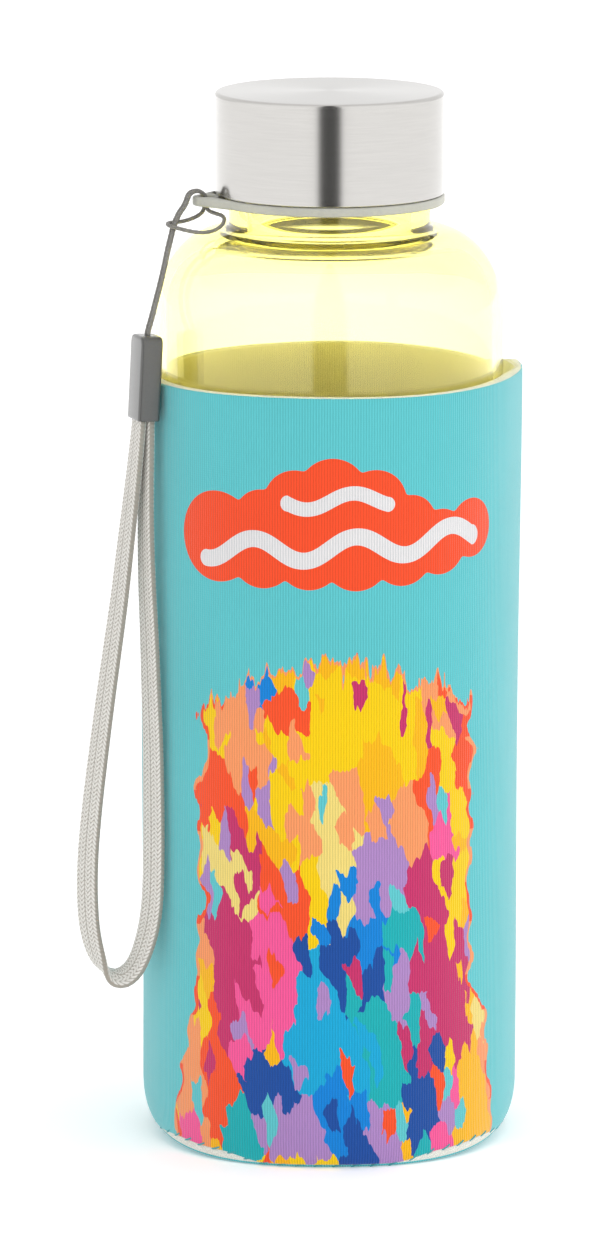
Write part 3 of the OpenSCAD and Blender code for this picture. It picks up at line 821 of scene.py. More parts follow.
def liner_outline():
    z0, z1 = liner_lo.z, liner_hi.z
    roof = z1 - 1.5
    skirt_z = shell_lo.z + 0.3
    top = [(0, z1), (LINER_R - 1.2, z1), (LINER_R, z1 - 1.2)]
    side = stretch((LINER_R, z1 - 1.2), (LINER_R, skirt_z), 4) + [(LINER_R, skirt_z), (SKIRT_R, skirt_z)]
    bead = arc(SKIRT_R, z0 + 0.3, SNAP_R - SKIRT_R, 0.28, 90, -60, 6)
    bead += [(LINER_IN_R + 0.3, z0), (LINER_IN_R, z0 + 0.3)]
    first = len(top + side + bead)
    bore = stretch((LINER_IN_R, z0 + 0.3), (LINER_IN_R, roof), 0.25)
    return top + side + bead + bore + [(LINER_IN_R, roof), (0, roof)], range(first, first + len(bore))


outline, threaded = liner_outline()
liner = spin("threaded_liner", outline, liner_plastic, threaded, side=-1.0,
             **{**GLASS_THREAD, "Thread start": (THREAD_Z - 1.5) * MM, "Thread depth": 1.15 * MM,
                "Thread root": 1.6 * MM, "Thread crest": 0.6 * MM})
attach(liner, "cap")
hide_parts("cap_liner")

gasket_lo, gasket_hi = span("cap_gasket")
seat_z = gasket_lo.z + 0.15
gasket_outline = rounded([
    (0, gasket_lo.z, 0), (14, gasket_lo.z, 0.2), (14.4, seat_z, 0.1), (18.6, seat_z, 0.1),
    (gasket_hi.x, gasket_lo.z, 0.3), (gasket_hi.x, gasket_hi.z, 0.3), (0, gasket_hi.z, 0)])
gasket = spin("lip_gasket", gasket_outline, silicone, segments=96)
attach(gasket, "cap")
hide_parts("cap_gasket")

# %% [markdown]
# ## The strap ring
#
# A plate with a bore, and an ear with an eye for the cord. Sharp edges would look punched, and this ring is
# moulded, so all its edges are round. A flat filled curve does this well: its loops are the outline, the
# bore and the eye, it gets its thickness from Extrude and its edges from Bevel, and it is then made a mesh.

# %% Strap ring
ring_lo, ring_hi = span("strap_ring")
RING_R = CAP_R + 0.1
EAR_AT, EAR_TIP_R, EYE_R = RING_R + 1.4, 3.0, 1.75
EAR_TURN = 180 + 10
RING_EDGE = 0.45


def turned(points, degrees):
    a = math.radians(degrees)
    return [(x * math.cos(a) - y * math.sin(a), x * math.sin(a) + y * math.cos(a)) for x, y in points]


def flat_plate(name, loops, z0, z1, edge):
    """A plate from closed loops in millimetres. The bevel swells every edge by its own size."""
    curve = bpy.data.curves.new(name, "CURVE")
    curve.dimensions, curve.fill_mode = "2D", "BOTH"
    curve.extrude = ((z1 - z0) / 2 - edge) * MM
    curve.bevel_depth, curve.bevel_resolution = edge * MM, 4
    for loop in loops:
        spline = curve.splines.new("POLY")
        spline.points.add(len(loop) - 1)
        spline.use_cyclic_u = True
        for point, (x, y) in zip(spline.points, loop):
            point.co = (x * MM, y * MM, 0, 1)
    carrier = add_piece(name + "_curve", curve)
    bpy.context.view_layer.update()
    mesh = bpy.data.meshes.new_from_object(carrier.evaluated_get(bpy.context.evaluated_depsgraph_get()))
    bpy.data.objects.remove(carrier)
    mesh.transform(Matrix.Translation((0, 0, (z0 + z1) / 2 * MM)))
    mesh.name = name
    face_outwards(mesh)
    mesh.shade_smooth()
    return add_piece(name, mesh)


# the loops lie inside the real edges by the size of the bevel, which swells them back
tip_r, rim_r = EAR_TIP_R - RING_EDGE, RING_R - RING_EDGE
bore_r, eye_r = SNAP_R + 0.1 + RING_EDGE, EYE_R + RING_EDGE
ear = arc(EAR_AT, 0, tip_r, tip_r, -58, 58, 24)
rim = arc(0, 0, rim_r, rim_r, 21, 339, 150)
bore = arc(0, 0, bore_r, bore_r, 0, 357.5, 143)
eye = arc(EAR_AT, 0, eye_r, eye_r, 0, 350, 35)
strap_ring = flat_plate("moulded_ring", [turned(loop, EAR_TURN) for loop in (ear + rim, bore, eye)],
                        ring_lo.z, ring_hi.z, RING_EDGE)
paint(strap_ring, ring_plastic)
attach(strap_ring, "ring")
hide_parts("strap_ring")
print("ring:", len(strap_ring.data.polygons), "faces")

# %% [markdown]
# ## The clasp
#
# A small hollow block with rounded upper corners. The cord's knot sits under its roof and the two ends of
# the band go up into its open bottom. It is built from rings of points stacked along its height: each ring
# is a rounded rectangle, and the stack turns in at the bottom and runs up inside again, so it is hollow.

# %% Clasp
CLASP_AT, CLASP_TURN, CLASP_LEAN = (-34.2, -16.8, 156.2), 21, 3
CLASP_W, CLASP_T, CLASP_H, CLASP_WALL, CLASP_CORNER = 6.5, 4.3, 16.0, 0.45, 1.6
CLASP_TOP = 0.4


def clasp_frame():
    """Where the clasp hangs. In its own frame x points away from the bottle and z up along the clasp."""
    turn = Matrix.Rotation(math.radians(180 + CLASP_TURN), 4, "Z")
    lean = Matrix.Rotation(math.radians(-CLASP_LEAN), 4, "Y")
    return Matrix.Translation(Vector(CLASP_AT) * MM) @ turn @ lean


def rounded_rectangle(half_x, half_y, fillet, z, steps=6):
    ring = []
    for cx, cy, start in ((1, 1, 0), (-1, 1, 90), (-1, -1, 180), (1, -1, 270)):
        ring += arc(cx * (half_x - fillet), cy * (half_y - fillet), fillet, fillet, start, start + 90, steps)
    return [Vector((x, y, z)) * MM for x, y in ring]


def make_clasp():
    half_t, half_w = CLASP_T / 2, CLASP_W / 2
    bottom = CLASP_TOP - CLASP_H
    soft = 0.55
    rings = []
    for k in range(13):
        a = math.radians(90 - 7.5 * k)
        z = CLASP_TOP - CLASP_CORNER * (1 - math.sin(a))
        side = half_w - CLASP_CORNER * (1 - math.cos(a))
        down = min(1, (CLASP_TOP - z) / soft)
        face = half_t - soft * (1 - math.sqrt(1 - (1 - down) ** 2))
        rings.append((face, side, min(soft, side, face) * 0.9, z))
    rings += [(half_t, half_w, soft, z) for z in (-3, -6, -9, -12, bottom + 0.5, bottom + 0.2)]
    rings += [(half_t - 0.06, half_w - 0.06, soft, bottom + 0.06), (half_t - 0.2, half_w - 0.2, soft, bottom)]
    wall = CLASP_WALL
    rings += [(half_t - wall, half_w - wall, soft - 0.2, z) for z in (bottom + 0.1, bottom + 4, bottom + 8)]
    rows = [rounded_rectangle(*ring) for ring in rings]
    width = len(rows[0])
    uv_rows = [[(0.018 * j / width, ring[3] * MM) for j in range(width + 1)] for ring in rings]
    mesh = grid_mesh("strap_clasp", rows, uv_rows, caps=True)
    mesh.transform(clasp_frame())
    face_outwards(mesh)
    return add_piece("strap_clasp", mesh)


clasp = make_clasp()
paint(clasp, clasp_plastic)
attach(clasp, "grip")
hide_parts("clasp_housing")
print("clasp:", len(clasp.data.polygons), "faces")

# %% [markdown]
# ## Sleeve cloth and foam
#
# The sleeve is a laminate: a printed knit outside, a few millimetres of foam, and a thin grey lining. Knit
# has wales, the columns of stitches that run up the cloth, half a millimetre apart, and each is a chain of
# small V shapes. The same knit function makes the height of both faces. It reads the UV map, so the wales
# run up the wall and bend with it.

# %% Knit helper
WALE, COURSE = 0.52, 0.42


def knit(across, up):
    """Height of a plain knit, 0 between the wales and 1 on a stitch. across and up are in millimetres."""
    column = (across * (1 / WALE)).math("PINGPONG", 0.5) * 2
    chain = ((up * (1 / COURSE) + column * 0.8) * math.pi).sin().abs()
    return column.ramp(0.02, 0.75) * (chain * 0.3 + 0.7)


def cloth_place(tree):
    """The UV map in millimetres: across the cloth from the middle of the front, and up it."""
    across, up, _ = coordinates(tree, "UV")
    return across * 1000.0, up * 1000.0


def cloth_finish(name, colour, deep, sheen=0.3, depth=0.00007):
    material, tree, shader = new_finish(name, Roughness=0.9, Sheen_Weight=sheen, Sheen_Roughness=0.45,
                                        Specular_IOR_Level=0.2)
    across, up = cloth_place(tree)
    height = knit(across, up)
    cloud = noise(tree, place(tree, (90, 90, 60)), detail=3)
    # painted shade: the colour darkens to deep between the wales of the knit, and a loose cloud varies the
    # tone at random
    shade = (height * 0.75 + cloud * 0.5).ramp(0.2, 0.95)
    plug(tree, shader.inputs["Base Color"], mix_colour(tree, shade, srgb(deep), srgb(colour)))
    plug(tree, shader.inputs["Roughness"], cloud * 0.1 + 0.84)
    raise_surface(tree, shader, height, depth)
    return material


def foam_finish():
    """The cut edge of the laminate: tiny cells in pale foam, with the cloth's fibres at the cut."""
    material, tree, shader = new_finish("cut_foam", Roughness=0.95, Sheen_Weight=0.2, Specular_IOR_Level=0.2)
    pores = add(tree, "ShaderNodeTexVoronoi", {"Vector": place(tree), "Scale": 4200.0})
    pore = Field(tree, pores.outputs["Distance"])
    colour = mix_colour(tree, pore.ramp(0.1, 0.7), srgb("f4f4ea"), srgb("d6d8d0"))
    plug(tree, shader.inputs["Base Color"], colour)
    raise_surface(tree, shader, pore, 0.00006)
    return material


lining_cloth = cloth_finish("grey_lining", "e2e2de", "d2d2cd", depth=0.00003)
teal_cloth = cloth_finish("teal_knit", "5fc4c9", "45a3aa")
cut_foam = foam_finish()
print("cloths:", lining_cloth.name, teal_cloth.name, cut_foam.name)

# %% [markdown]
# ## The print
#
# Two prints sit on the front: a rounded badge with white waves in it, and below it a large patch of bright
# angular paint shards that runs off the sleeve's lower edge. Both are plain node arithmetic on the cloth's
# own coordinates. The badge is a union of discs: how far a point lies inside is the greatest of its depths
# in each of them. The shards are Voronoi cells in a slanted plane, large ones with small ones over them.
# Every cell takes one flat colour, read where the cell's middle lies in a layout of loose colour patches.
# Long thin noise bends the lookup, so the edges get spikes like strokes of a dry brush.

# %% Badge
# middle across and up, and radius
BADGE_DISCS = [
    (-22.5, 120.5, 8.6), (-13, 118, 6.6), (-4, 117.6, 6.2), (5, 117.6, 6.4), (14, 118, 6.2),
    (22, 119.5, 6.2), (29.8, 121.3, 5.6), (-6.5, 128, 6), (0.5, 129.9, 6.4), (8.5, 127.8, 6.2),
    (-13, 124.5, 5.6), (15.5, 123.5, 5.4), (-4, 122.5, 5), (5, 122.5, 5),
]
# start, end, middle height, slope, height of the wave, its length and half the stroke's width
WAVES = [(-25, 30, 119.2, 0.04, 2.1, 19.5, 1.6), (-8, 11, 128.2, 0.03, 1.4, 17, 1.35)]


def badge(across, up):
    """How far inside the badge a point lies, in millimetres, negative outside."""
    inside = None
    for x, z, r in BADGE_DISCS:
        dx, dz = across - x, up - z
        depth = r - (dx * dx + dz * dz).math("SQRT")
        inside = depth if inside is None else inside.math("SMOOTH_MAX", depth, 1.2)
    return inside


def wave_stroke(across, up, start, end, level, slope, height, length, half_width):
    """1 inside a wavy stroke with round ends, and 0 outside."""
    x = across.most(start).least(end)
    swing = (x * (2 * math.pi / length)).sin()
    middle = swing * height + x * slope + level
    steep = (x * (2 * math.pi / length)).math("COSINE") * (height * 2 * math.pi / length)
    rise = (up - middle) / (steep * steep + 1.0).math("SQRT")
    run = across - x
    return 1.0 - (rise * rise + run * run).math("SQRT").over(half_width)


print("badge discs:", len(BADGE_DISCS))

# %% Shards
PALETTE = {
    "yellow": "fccf08", "amber": "fdb913", "peach": "fb9b64", "orange": "fb5429", "cream": "f2d97c",
    "lavender": "b088c4", "magenta": "c9336b", "pink": "f95a9b", "navy": "1c4fa0", "blue": "0b84d9",
    "cyan": "16a9d8", "sea": "1bb0b5", "ground": "60c7cd",
}
# middle across and up, half width, half height, colour: later patches lie over earlier ones
PATCHES = [
    (-24, 96, 9, 9, "orange"), (-18, 86, 6, 10, "peach"), (24, 92, 10, 9, "peach"),
    (29, 84, 5, 9, "orange"), (-12, 92, 5, 6, "blue"), (14, 88, 5, 7, "magenta"),
    (2, 82, 13, 10, "yellow"), (-4, 88, 5, 4, "orange"), (-26, 74, 9, 7, "orange"),
    (-14, 72, 7, 5, "lavender"), (27, 72, 8, 8, "orange"), (13, 74, 6, 6, "amber"),
    (-20, 64, 10, 5, "magenta"), (0, 68, 9, 9, "peach"), (17, 63, 8, 5, "peach"), (1, 60, 7, 8, "cream"),
    (-29, 57, 6, 10, "yellow"), (-19, 56, 6, 5, "cream"), (-11, 54, 6, 6, "orange"),
    (13, 55, 6, 5, "lavender"), (24, 58, 5, 5, "pink"), (32, 50, 7, 16, "yellow"),
    (22, 46, 6, 9, "magenta"), (-27, 43, 7, 9, "peach"), (-18, 42, 5, 14, "magenta"),
    (-11, 40, 6, 11, "pink"), (-3, 44, 6, 9, "lavender"), (6, 45, 8, 9, "blue"), (2, 37, 5, 8, "navy"),
    (14, 41, 5, 8, "sea"), (15, 34, 5, 6, "lavender"), (-30, 29, 7, 7, "yellow"),
    (-20, 24, 6, 9, "magenta"), (-12, 26, 5, 8, "pink"), (2, 24, 9, 11, "cyan"), (12, 25, 5, 9, "sea"),
    (22, 28, 5, 9, "magenta"), (34, 29, 6, 8, "cream"), (-30, 13, 8, 12, "peach"),
    (-22, 12, 6, 8, "orange"), (-13, 14, 5, 7, "navy"), (-7, 8, 6, 9, "lavender"), (3, 10, 7, 9, "blue"),
    (13, 12, 6, 8, "sea"), (20, 13, 5, 7, "navy"), (25, 8, 6, 8, "pink"), (33, 12, 6, 11, "amber"),
    (39, 12, 3, 14, "peach"), (3, 3, 3, 6, "navy"), (-15, 3, 5, 5, "sea"), (11, 3, 5, 4, "lavender"),
    (-27, 2, 6, 5, "pink"),
]
FLECKS = ("orange", "amber", "lavender", "ground", "magenta", "yellow")
# the shards rise to the left by this slope, and the small ones come from another part of the cell field
SHEAR = 0.55
APART = 40
# the patch's middle, its top, half its width up there and what each side gains towards the hem
PATCH_X, PATCH_TOP, PATCH_HALF, PATCH_FLARE = 1.5, 97.0, 28.5, 7.5


def cells(tree, across, up, wide, tall):
    """Voronoi cells: the middle of the cell that a point is in, in millimetres, and its random colour."""
    spot = add(tree, "ShaderNodeCombineXYZ", {"X": across / wide, "Y": up / tall})
    node = add(tree, "ShaderNodeTexVoronoi", {"Vector": spot.outputs[0], "Scale": 1.0},
               voronoi_dimensions="2D", distance="MANHATTAN")
    middle = add(tree, "ShaderNodeSeparateXYZ", {"Vector": node.outputs["Position"]})
    luck = add(tree, "ShaderNodeSeparateColor", {"Color": node.outputs["Color"]})
    return [Field(tree, middle.outputs[0]) * wide, Field(tree, middle.outputs[1]) * tall,
            *(Field(tree, s) for s in luck.outputs[:3])]


def shards(tree, across, up):
    """The paint patch: its colour, and how far inside its ragged outline a point lies in millimetres."""
    streaks = add(tree, "ShaderNodeCombineXYZ", {"X": across * 0.55, "Y": up * 0.07})
    spikes = noise(tree, streaks.outputs[0], detail=2, rough=0.6) - 0.5
    broad = add(tree, "ShaderNodeCombineXYZ", {"X": across * 0.1, "Y": up * 0.16})
    drift = noise(tree, broad.outputs[0], detail=3) - 0.5
    x = across + drift * 3
    z = up + spikes * 6 + drift * 2 + x * SHEAR
    big = cells(tree, x, z, 6.5, 10)
    small = cells(tree, x + APART, z, 2.6, 6.0)
    pick = small[2].over(0.62)
    stray = pick * 9
    middle_x = big[0] + (small[0] - APART - big[0]) * pick + (small[3] - 0.5) * stray
    middle_z = big[1] + (small[1] - big[1]) * pick + (small[4] - 0.5) * stray - middle_x * SHEAR
    colour = mix_colour(tree, big[2].over(0.5), srgb(PALETTE["yellow"]), srgb(PALETTE["amber"]))
    for px, pz, half_x, half_z, shade in PATCHES:
        dx, dz = (middle_x - px) / half_x, (middle_z - pz) / half_z
        here = 1.0 - (dx * dx + dz * dz).over(1.0)
        colour = mix_colour(tree, here, colour, srgb(PALETTE[shade]))
    for k, shade in enumerate(FLECKS):
        low = 0.66 + 0.025 * k
        here = small[3].over(low) * (1.0 - small[3].over(low + 0.025)) * small[4].over(0.35)
        colour = mix_colour(tree, here, colour, srgb(PALETTE[shade]))
    half = PATCH_HALF + (1.0 - up.ramp(2, 46)) * PATCH_FLARE
    rolling = noise(tree, broad.outputs[0], detail=0) - 0.5
    aside = (across - PATCH_X).abs()
    side = half - aside + rolling * 7 + spikes * 3
    top = PATCH_TOP - aside * aside * 0.012 - up + rolling * 5 + spikes * 15
    return colour, side.least(top)


print("colour patches:", len(PATCHES))

# %% Printed knit
def make_printed_knit():
    material, tree, shader = new_finish("printed_knit", Roughness=0.88, Sheen_Weight=0.6, Sheen_Roughness=0.4,
                                        Specular_IOR_Level=0.2)
    across, up = cloth_place(tree)
    height = knit(across, up)
    colour, inside = shards(tree, across, up)
    outline = mix_colour(tree, (up * 0.35).sin().over(-0.2), srgb(PALETTE["orange"]), srgb(PALETTE["peach"]))
    colour = mix_colour(tree, inside.over(0.8), outline, colour)
    colour = mix_colour(tree, inside.over(0.0), srgb(PALETTE["ground"]), colour)
    colour = mix_colour(tree, badge(across, up).over(0.0), colour, srgb("fb5129"))
    for stroke in WAVES:
        colour = mix_colour(tree, wave_stroke(across, up, *stroke), colour, srgb("e6e3e4"))
    cloud = noise(tree, place(tree, (70, 70, 50)), detail=3)
    # painted shade: between the wales of the knit the print is multiplied darker, and a loose cloud varies
    # the tone at random
    shade = (height * 0.7 + cloud * 0.4).ramp(0.1, 0.9)
    shaded_print = mix_colour(tree, 1.0, colour, srgb("e2e8e8"), "MULTIPLY")
    plug(tree, shader.inputs["Base Color"], mix_colour(tree, shade, shaded_print, colour))
    plug(tree, shader.inputs["Roughness"], cloud * 0.1 + 0.83)
    raise_surface(tree, shader, height, 0.00007)
    return material


printed_knit = make_printed_knit()
print("print nodes:", len(printed_knit.node_tree.nodes))

# %% [markdown]
# ## The sleeve's shape
#
# The wall is cut from flat laminate and joined by one seam, at the right of the front, where the two edges
# pinch outwards. The pinch is small near the base and opens towards the rim, where it stands off the glass.
# The base panel is a disc with slightly square corners. Its edge lifts at the seam side and opposite, and
# the wall's hem rides up over it in four places, where the pale cut edge shows. One function of the angle
# and the height gives each of these, and a grid follows them. The foam is stretched over the glass, so it
# has no loose folds that a cloth simulation would give, and the mesh is made directly.

# %% Sleeve shape
sleeve_lo, sleeve_hi = span("sleeve_body")
SLEEVE_R, SLEEVE_H = -sleeve_lo.x, sleeve_hi.z
SEAM_OUT = sleeve_hi.x - SLEEVE_R
FOAM_T, LINING_T = 2.2, 0.4
LAMINATE_T = FOAM_T + LINING_T
FOAM_IN_R = SLEEVE_R - FOAM_T
BASE_R = 34.0
# column angles in degrees from the seam, closer together near it
NEAR = [a * 0.75 for a in range(20)]
ANGLES = NEAR + [15 + 2 * a for a in range(165)] + [345 + a for a in NEAR]


def smooth(value, start, end):
    t = min(1.0, max(0.0, (value - start) / (end - start)))
    return t * t * (3 - 2 * t)


def from_seam(degrees):
    return min(degrees, 360 - degrees)


def squarish(degrees):
    """The base's radius: a circle drawn towards a square with soft corners."""
    a = math.radians(degrees)
    power = 2.3
    return BASE_R / (abs(math.cos(a)) ** power + abs(math.sin(a)) ** power) ** (1 / power)


def base_lift(degrees):
    """How far the base's edge lifts off the ground at this angle."""
    return 3.0 * abs(math.cos(math.radians(degrees))) ** 5


def hem_z(degrees):
    """Height of the wall's lower edge: it rides up between the front and the sides."""
    away = abs(math.degrees(math.asin(abs(math.cos(math.radians(degrees))))))
    bare = smooth(away, 20, 36) * (1 - smooth(away, 50, 70))
    return base_lift(degrees) + 0.6 + 1.4 * bare


def pinch(degrees, z, reach, width):
    """The seam's ridge: reach at the rim, a little below, in a peak of the given width in degrees."""
    peak = max(0.0, 1 - from_seam(degrees) / width) ** 2
    return peak * reach * (0.12 + 0.88 * smooth(z, 45, SLEEVE_H) ** 1.3)


def outer_r(degrees, z):
    """Radius of the wall's outer face."""
    hem = squarish(degrees) + 0.2
    rise = min(1.0, max(0.0, (z - hem_z(degrees)) / 6.5))
    r = hem + (SLEEVE_R - hem) * math.sqrt(1 - (1 - rise) ** 2)
    groove = 0.32 * math.exp(-(from_seam(degrees) / 0.8) ** 2) * smooth(z, 4, 9)
    sway = 0.1 * math.sin(math.radians(3 * degrees + 50)) * math.sin(z / 21) * smooth(z, 8, 30)
    return r + pinch(degrees, z, SEAM_OUT, 17) - groove + sway


def inner_r(degrees, z):
    """Radius of the foam's inner face, which stands off the glass at the rim behind the seam."""
    stand_off = 1.5 * max(0.0, 1 - from_seam(degrees) / 12) ** 1.5
    return FOAM_IN_R + pinch(degrees, z, 0.5, 15) + stand_off * smooth(z, 128, SLEEVE_H)


def rim_z(degrees):
    """Height of the rim, which flips up a little just behind the seam."""
    behind = degrees if degrees < 180 else degrees - 360
    flip = 1.1 * math.exp(-((behind - 7) / 8) ** 2)
    dip = 0.25 * math.sin(math.radians(2 * degrees + 20)) ** 2
    return SLEEVE_H + flip - dip


def at(degrees, r, z):
    a = math.radians(degrees)
    return Vector((r * math.cos(a), r * math.sin(a), z)) * MM


def around(name, profile, finishes, finish_of_row, loop_rows=True):
    """A grid round the bottle. profile(angle) is a list of (r, z, v) from row to row, v along the cloth."""
    columns = [profile(a) for a in ANGLES]
    count = len(columns[0])
    rows = [[at(a, column[i][0], column[i][1]) for a, column in zip(ANGLES, columns)] for i in range(count)]
    ends = [*ANGLES, 360]
    columns.append(columns[0])
    uv_rows = [[(math.radians(a - 270) * SLEEVE_R * MM, column[i % count][2] * MM)
                for a, column in zip(ends, columns)] for i in range(count + 1)]
    mesh = grid_mesh(name, rows, uv_rows, loop_rows=loop_rows)
    width = len(ANGLES)
    face_outwards(mesh)
    piece = add_piece(name, mesh)
    paint(piece, *finishes)
    for polygon in mesh.polygons:
        polygon.material_index = finish_of_row(polygon.index // width)
    return piece


print("sleeve radius", SLEEVE_R, "mm, columns:", len(ANGLES))

# %% Sleeve wall
# HEM_ROWS are heights above the hem, because the turn of the cloth follows it. The other rows are heights
# above the ground, up the outside and down again inside.
HEM_ROWS = [0, 0.15, 0.4, 0.8, 1.4, 2.2, 3.2, 4.4, 5.8, 7.5]
WALL_ROWS = [13.5 + 3.75 * k for k in range(34)] + [139, 143]
INNER_ROWS = (144, 140, 130, 110, 80, 50, 20, 6, LAMINATE_T + 0.3)


def wall_profile(degrees):
    bottom, top = hem_z(degrees), rim_z(degrees)
    points = [(outer_r(degrees, z), z, z) for z in [bottom + step for step in HEM_ROWS] + WALL_ROWS]
    r_out, r_in = outer_r(degrees, top), inner_r(degrees, top)
    points += [(r, z, z) for r, z in arc(r_out - 0.3, top - 0.3, 0.3, 0.3, 0, 75, 5)]
    points += [(r_out - 0.4, top + 0.03, top), (r_in + 0.5, top + 0.05, top), (r_in + 0.1, top, top)]
    points += [(inner_r(degrees, z), z, z) for z in (top - 0.4, *INNER_ROWS)]
    points.append((FOAM_IN_R + 0.3, base_lift(degrees) + LAMINATE_T, 0))
    points.append((squarish(degrees) + 0.05, bottom + 0.05, 0))
    return points


outside_rows = len(HEM_ROWS) + len(WALL_ROWS) + 5
sleeve_wall = around("sleeve_wall", wall_profile, [printed_knit, cut_foam],
                     lambda row: 0 if row < outside_rows else 1)
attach(sleeve_wall, "sleeve")
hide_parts("sleeve_body")
print("sleeve wall:", len(sleeve_wall.data.polygons), "faces")

# %% Sleeve lining
def lining_profile(degrees):
    top = rim_z(degrees) - 0.08
    heights = [LAMINATE_T + 0.1, 6, 20, 50, 80, 110, 130, 137, 141, 144, top - 0.15]
    inner = [(inner_r(degrees, z) - LINING_T, z, z) for z in heights]
    edge = [(inner_r(degrees, top) - 0.3, top, top), (inner_r(degrees, top) - 0.06, top, top)]
    return inner + edge + [(inner_r(degrees, z) - 0.02, z, z) for z in reversed(heights)]


sleeve_lining = around("knit_lining", lining_profile, [lining_cloth], lambda row: 0)
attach(sleeve_lining, "sleeve")
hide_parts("sleeve_lining")
print("lining:", len(sleeve_lining.data.polygons), "faces")

# %% [markdown]
# ## The base panel
#
# A disc of the same laminate, teal side down, with its own lining on top. Its rounded lower edge is teal
# and its cut edge pale. Both discs are grids from the middle outwards and back, closed at their poles.

# %% Base panel
def dish(degrees, share, z):
    """A point of the base: share of the way out, lifted with the edge."""
    lift = base_lift(degrees) * smooth(share, 0.55, 1.0)
    return squarish(degrees) * share, z + lift, squarish(degrees) * share


def base_profile(degrees):
    edge = squarish(degrees)
    lift = base_lift(degrees)
    under = [dish(degrees, share, 0.0) for share in (0, 0.2, 0.4, 0.6, 0.72, 0.82, 0.9, 0.95)]
    roll = [(r, z + lift, r) for r, z in arc(edge - 0.9, 0.45, 0.9, 0.45, -70, 10, 6)]
    cut = [(edge + out, lift + z, edge) for out, z in ((0.12, 0.65), (0.22, 1.3), (0.1, FOAM_T))]
    over = [dish(degrees, share, FOAM_T) for share in (0.97, 0.9, 0.82, 0.72, 0.6, 0.4, 0.2, 0)]
    return under + roll + cut + over


base_panel = around("base_panel", base_profile, [teal_cloth, cut_foam],
                    lambda row: 0 if row < 14 else 1, loop_rows=False)
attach(base_panel, "sleeve")
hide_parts("sleeve_base")


def base_lining_profile(degrees):
    shares = (0, 0.2, 0.4, 0.6, 0.72, 0.82, 0.9, 0.965)
    under = [dish(degrees, share, FOAM_T + 0.02) for share in shares]
    return under + [dish(degrees, share, LAMINATE_T) for share in reversed(shares)]


base_lining = around("base_lining", base_lining_profile, [lining_cloth], lambda row: 0, loop_rows=False)
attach(base_lining, "sleeve")
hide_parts("sleeve_base_lining")
print("base:", len(base_panel.data.polygons), "faces")

# %% [markdown]
# ## Seam stitches with Geometry Nodes
#
# Stitches repeat along a line, so one tree makes them all: it resamples a path at the stitch pitch, puts a
# short bowed length of thread at every point, turns it along the path with its bow outwards, and makes the
# copies real. The path carries an out direction for that. One tree serves both seams.

# %% Stitch tree
def make_stitch_tree():
    tree, given, out = new_geometry_tree("stitch_row", {
        "Pitch": "Float", "Stitch length": "Float", "Thread thickness": "Float", "Bow": "Float",
        "Slant": "Float", "Finish": "Material"})
    line = add(tree, "GeometryNodeMeshToCurve", {"Mesh": given["Geometry"]})
    steps = add(tree, "GeometryNodeResampleCurve", {"Curve": line.outputs[0], "Length": given["Pitch"]},
                mode="LENGTH")
    half = Field(tree, given["Stitch length"]) / 2
    dip = Field(tree, given["Bow"]) * -1.0
    start = add(tree, "ShaderNodeCombineXYZ", {"X": half * -1.0, "Z": dip})
    middle = add(tree, "ShaderNodeCombineXYZ", {"Z": given["Bow"]})
    end = add(tree, "ShaderNodeCombineXYZ", {"X": half, "Z": dip})
    bow = add(tree, "GeometryNodeCurveQuadraticBezier", {
        "Resolution": 6, "Start": start.outputs[0], "Middle": middle.outputs[0], "End": end.outputs[0]})
    section = add(tree, "GeometryNodeCurvePrimitiveCircle", {
        "Resolution": 6, "Radius": Field(tree, given["Thread thickness"]) / 2})
    stitch = add(tree, "GeometryNodeCurveToMesh", {
        "Curve": bow.outputs[0], "Profile Curve": section.outputs[0], "Fill Caps": True})
    away = add(tree, "GeometryNodeInputNamedAttribute", {"Name": "away"}, data_type="FLOAT_VECTOR")
    up = add(tree, "FunctionNodeAlignRotationToVector", {"Vector": away.outputs["Attribute"]}, axis="Z")
    tangent = add(tree, "GeometryNodeInputTangent")
    along = add(tree, "FunctionNodeAlignRotationToVector", {
        "Rotation": up.outputs[0], "Vector": tangent.outputs[0]}, axis="X", pivot_axis="Z")
    slant = add(tree, "FunctionNodeAxisAngleToRotation", {"Angle": given["Slant"]})
    turned_on = add(tree, "FunctionNodeRotateRotation", {
        "Rotation": along.outputs[0], "Rotate By": slant.outputs[0]}, rotation_space="LOCAL")
    copies = add(tree, "GeometryNodeInstanceOnPoints", {
        "Points": steps.outputs[0], "Instance": stitch.outputs[0], "Rotation": turned_on.outputs[0]})
    real = add(tree, "GeometryNodeRealizeInstances", {"Geometry": copies.outputs[0]})
    done = add(tree, "GeometryNodeSetMaterial", {"Geometry": real.outputs[0], "Material": given["Finish"]})
    tree.links.new(done.outputs[0], out.inputs[0])
    return tree


stitch_tree = make_stitch_tree()
print("stitch tree nodes:", len(stitch_tree.nodes))

# %% Seam threads
seam_yarn = yarn_finish("teal_thread", "4aa9b0", "2f868d", fibre=(5000, 5000, 1), depth=0.00002)


def stitch_row(name, path, away, closed, node, **values):
    """Stitches along a path in millimetres. away is the outward direction at each of its points."""
    count = len(path)
    mesh = bpy.data.meshes.new(name + "_path")
    edges = [(i, (i + 1) % count) for i in range(count if closed else count - 1)]
    mesh.from_pydata([tuple(p) for p in path], edges, [])
    out = mesh.attributes.new("away", "FLOAT_VECTOR", "POINT")
    out.data.foreach_set("vector", [value for v in away for value in v])
    piece = run_tree(name, mesh, stitch_tree, {"Finish": seam_yarn, **values})
    piece.data.shade_smooth()
    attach(piece, "sleeve")
    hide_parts(node)
    print(name + ":", len(piece.data.polygons), "faces")


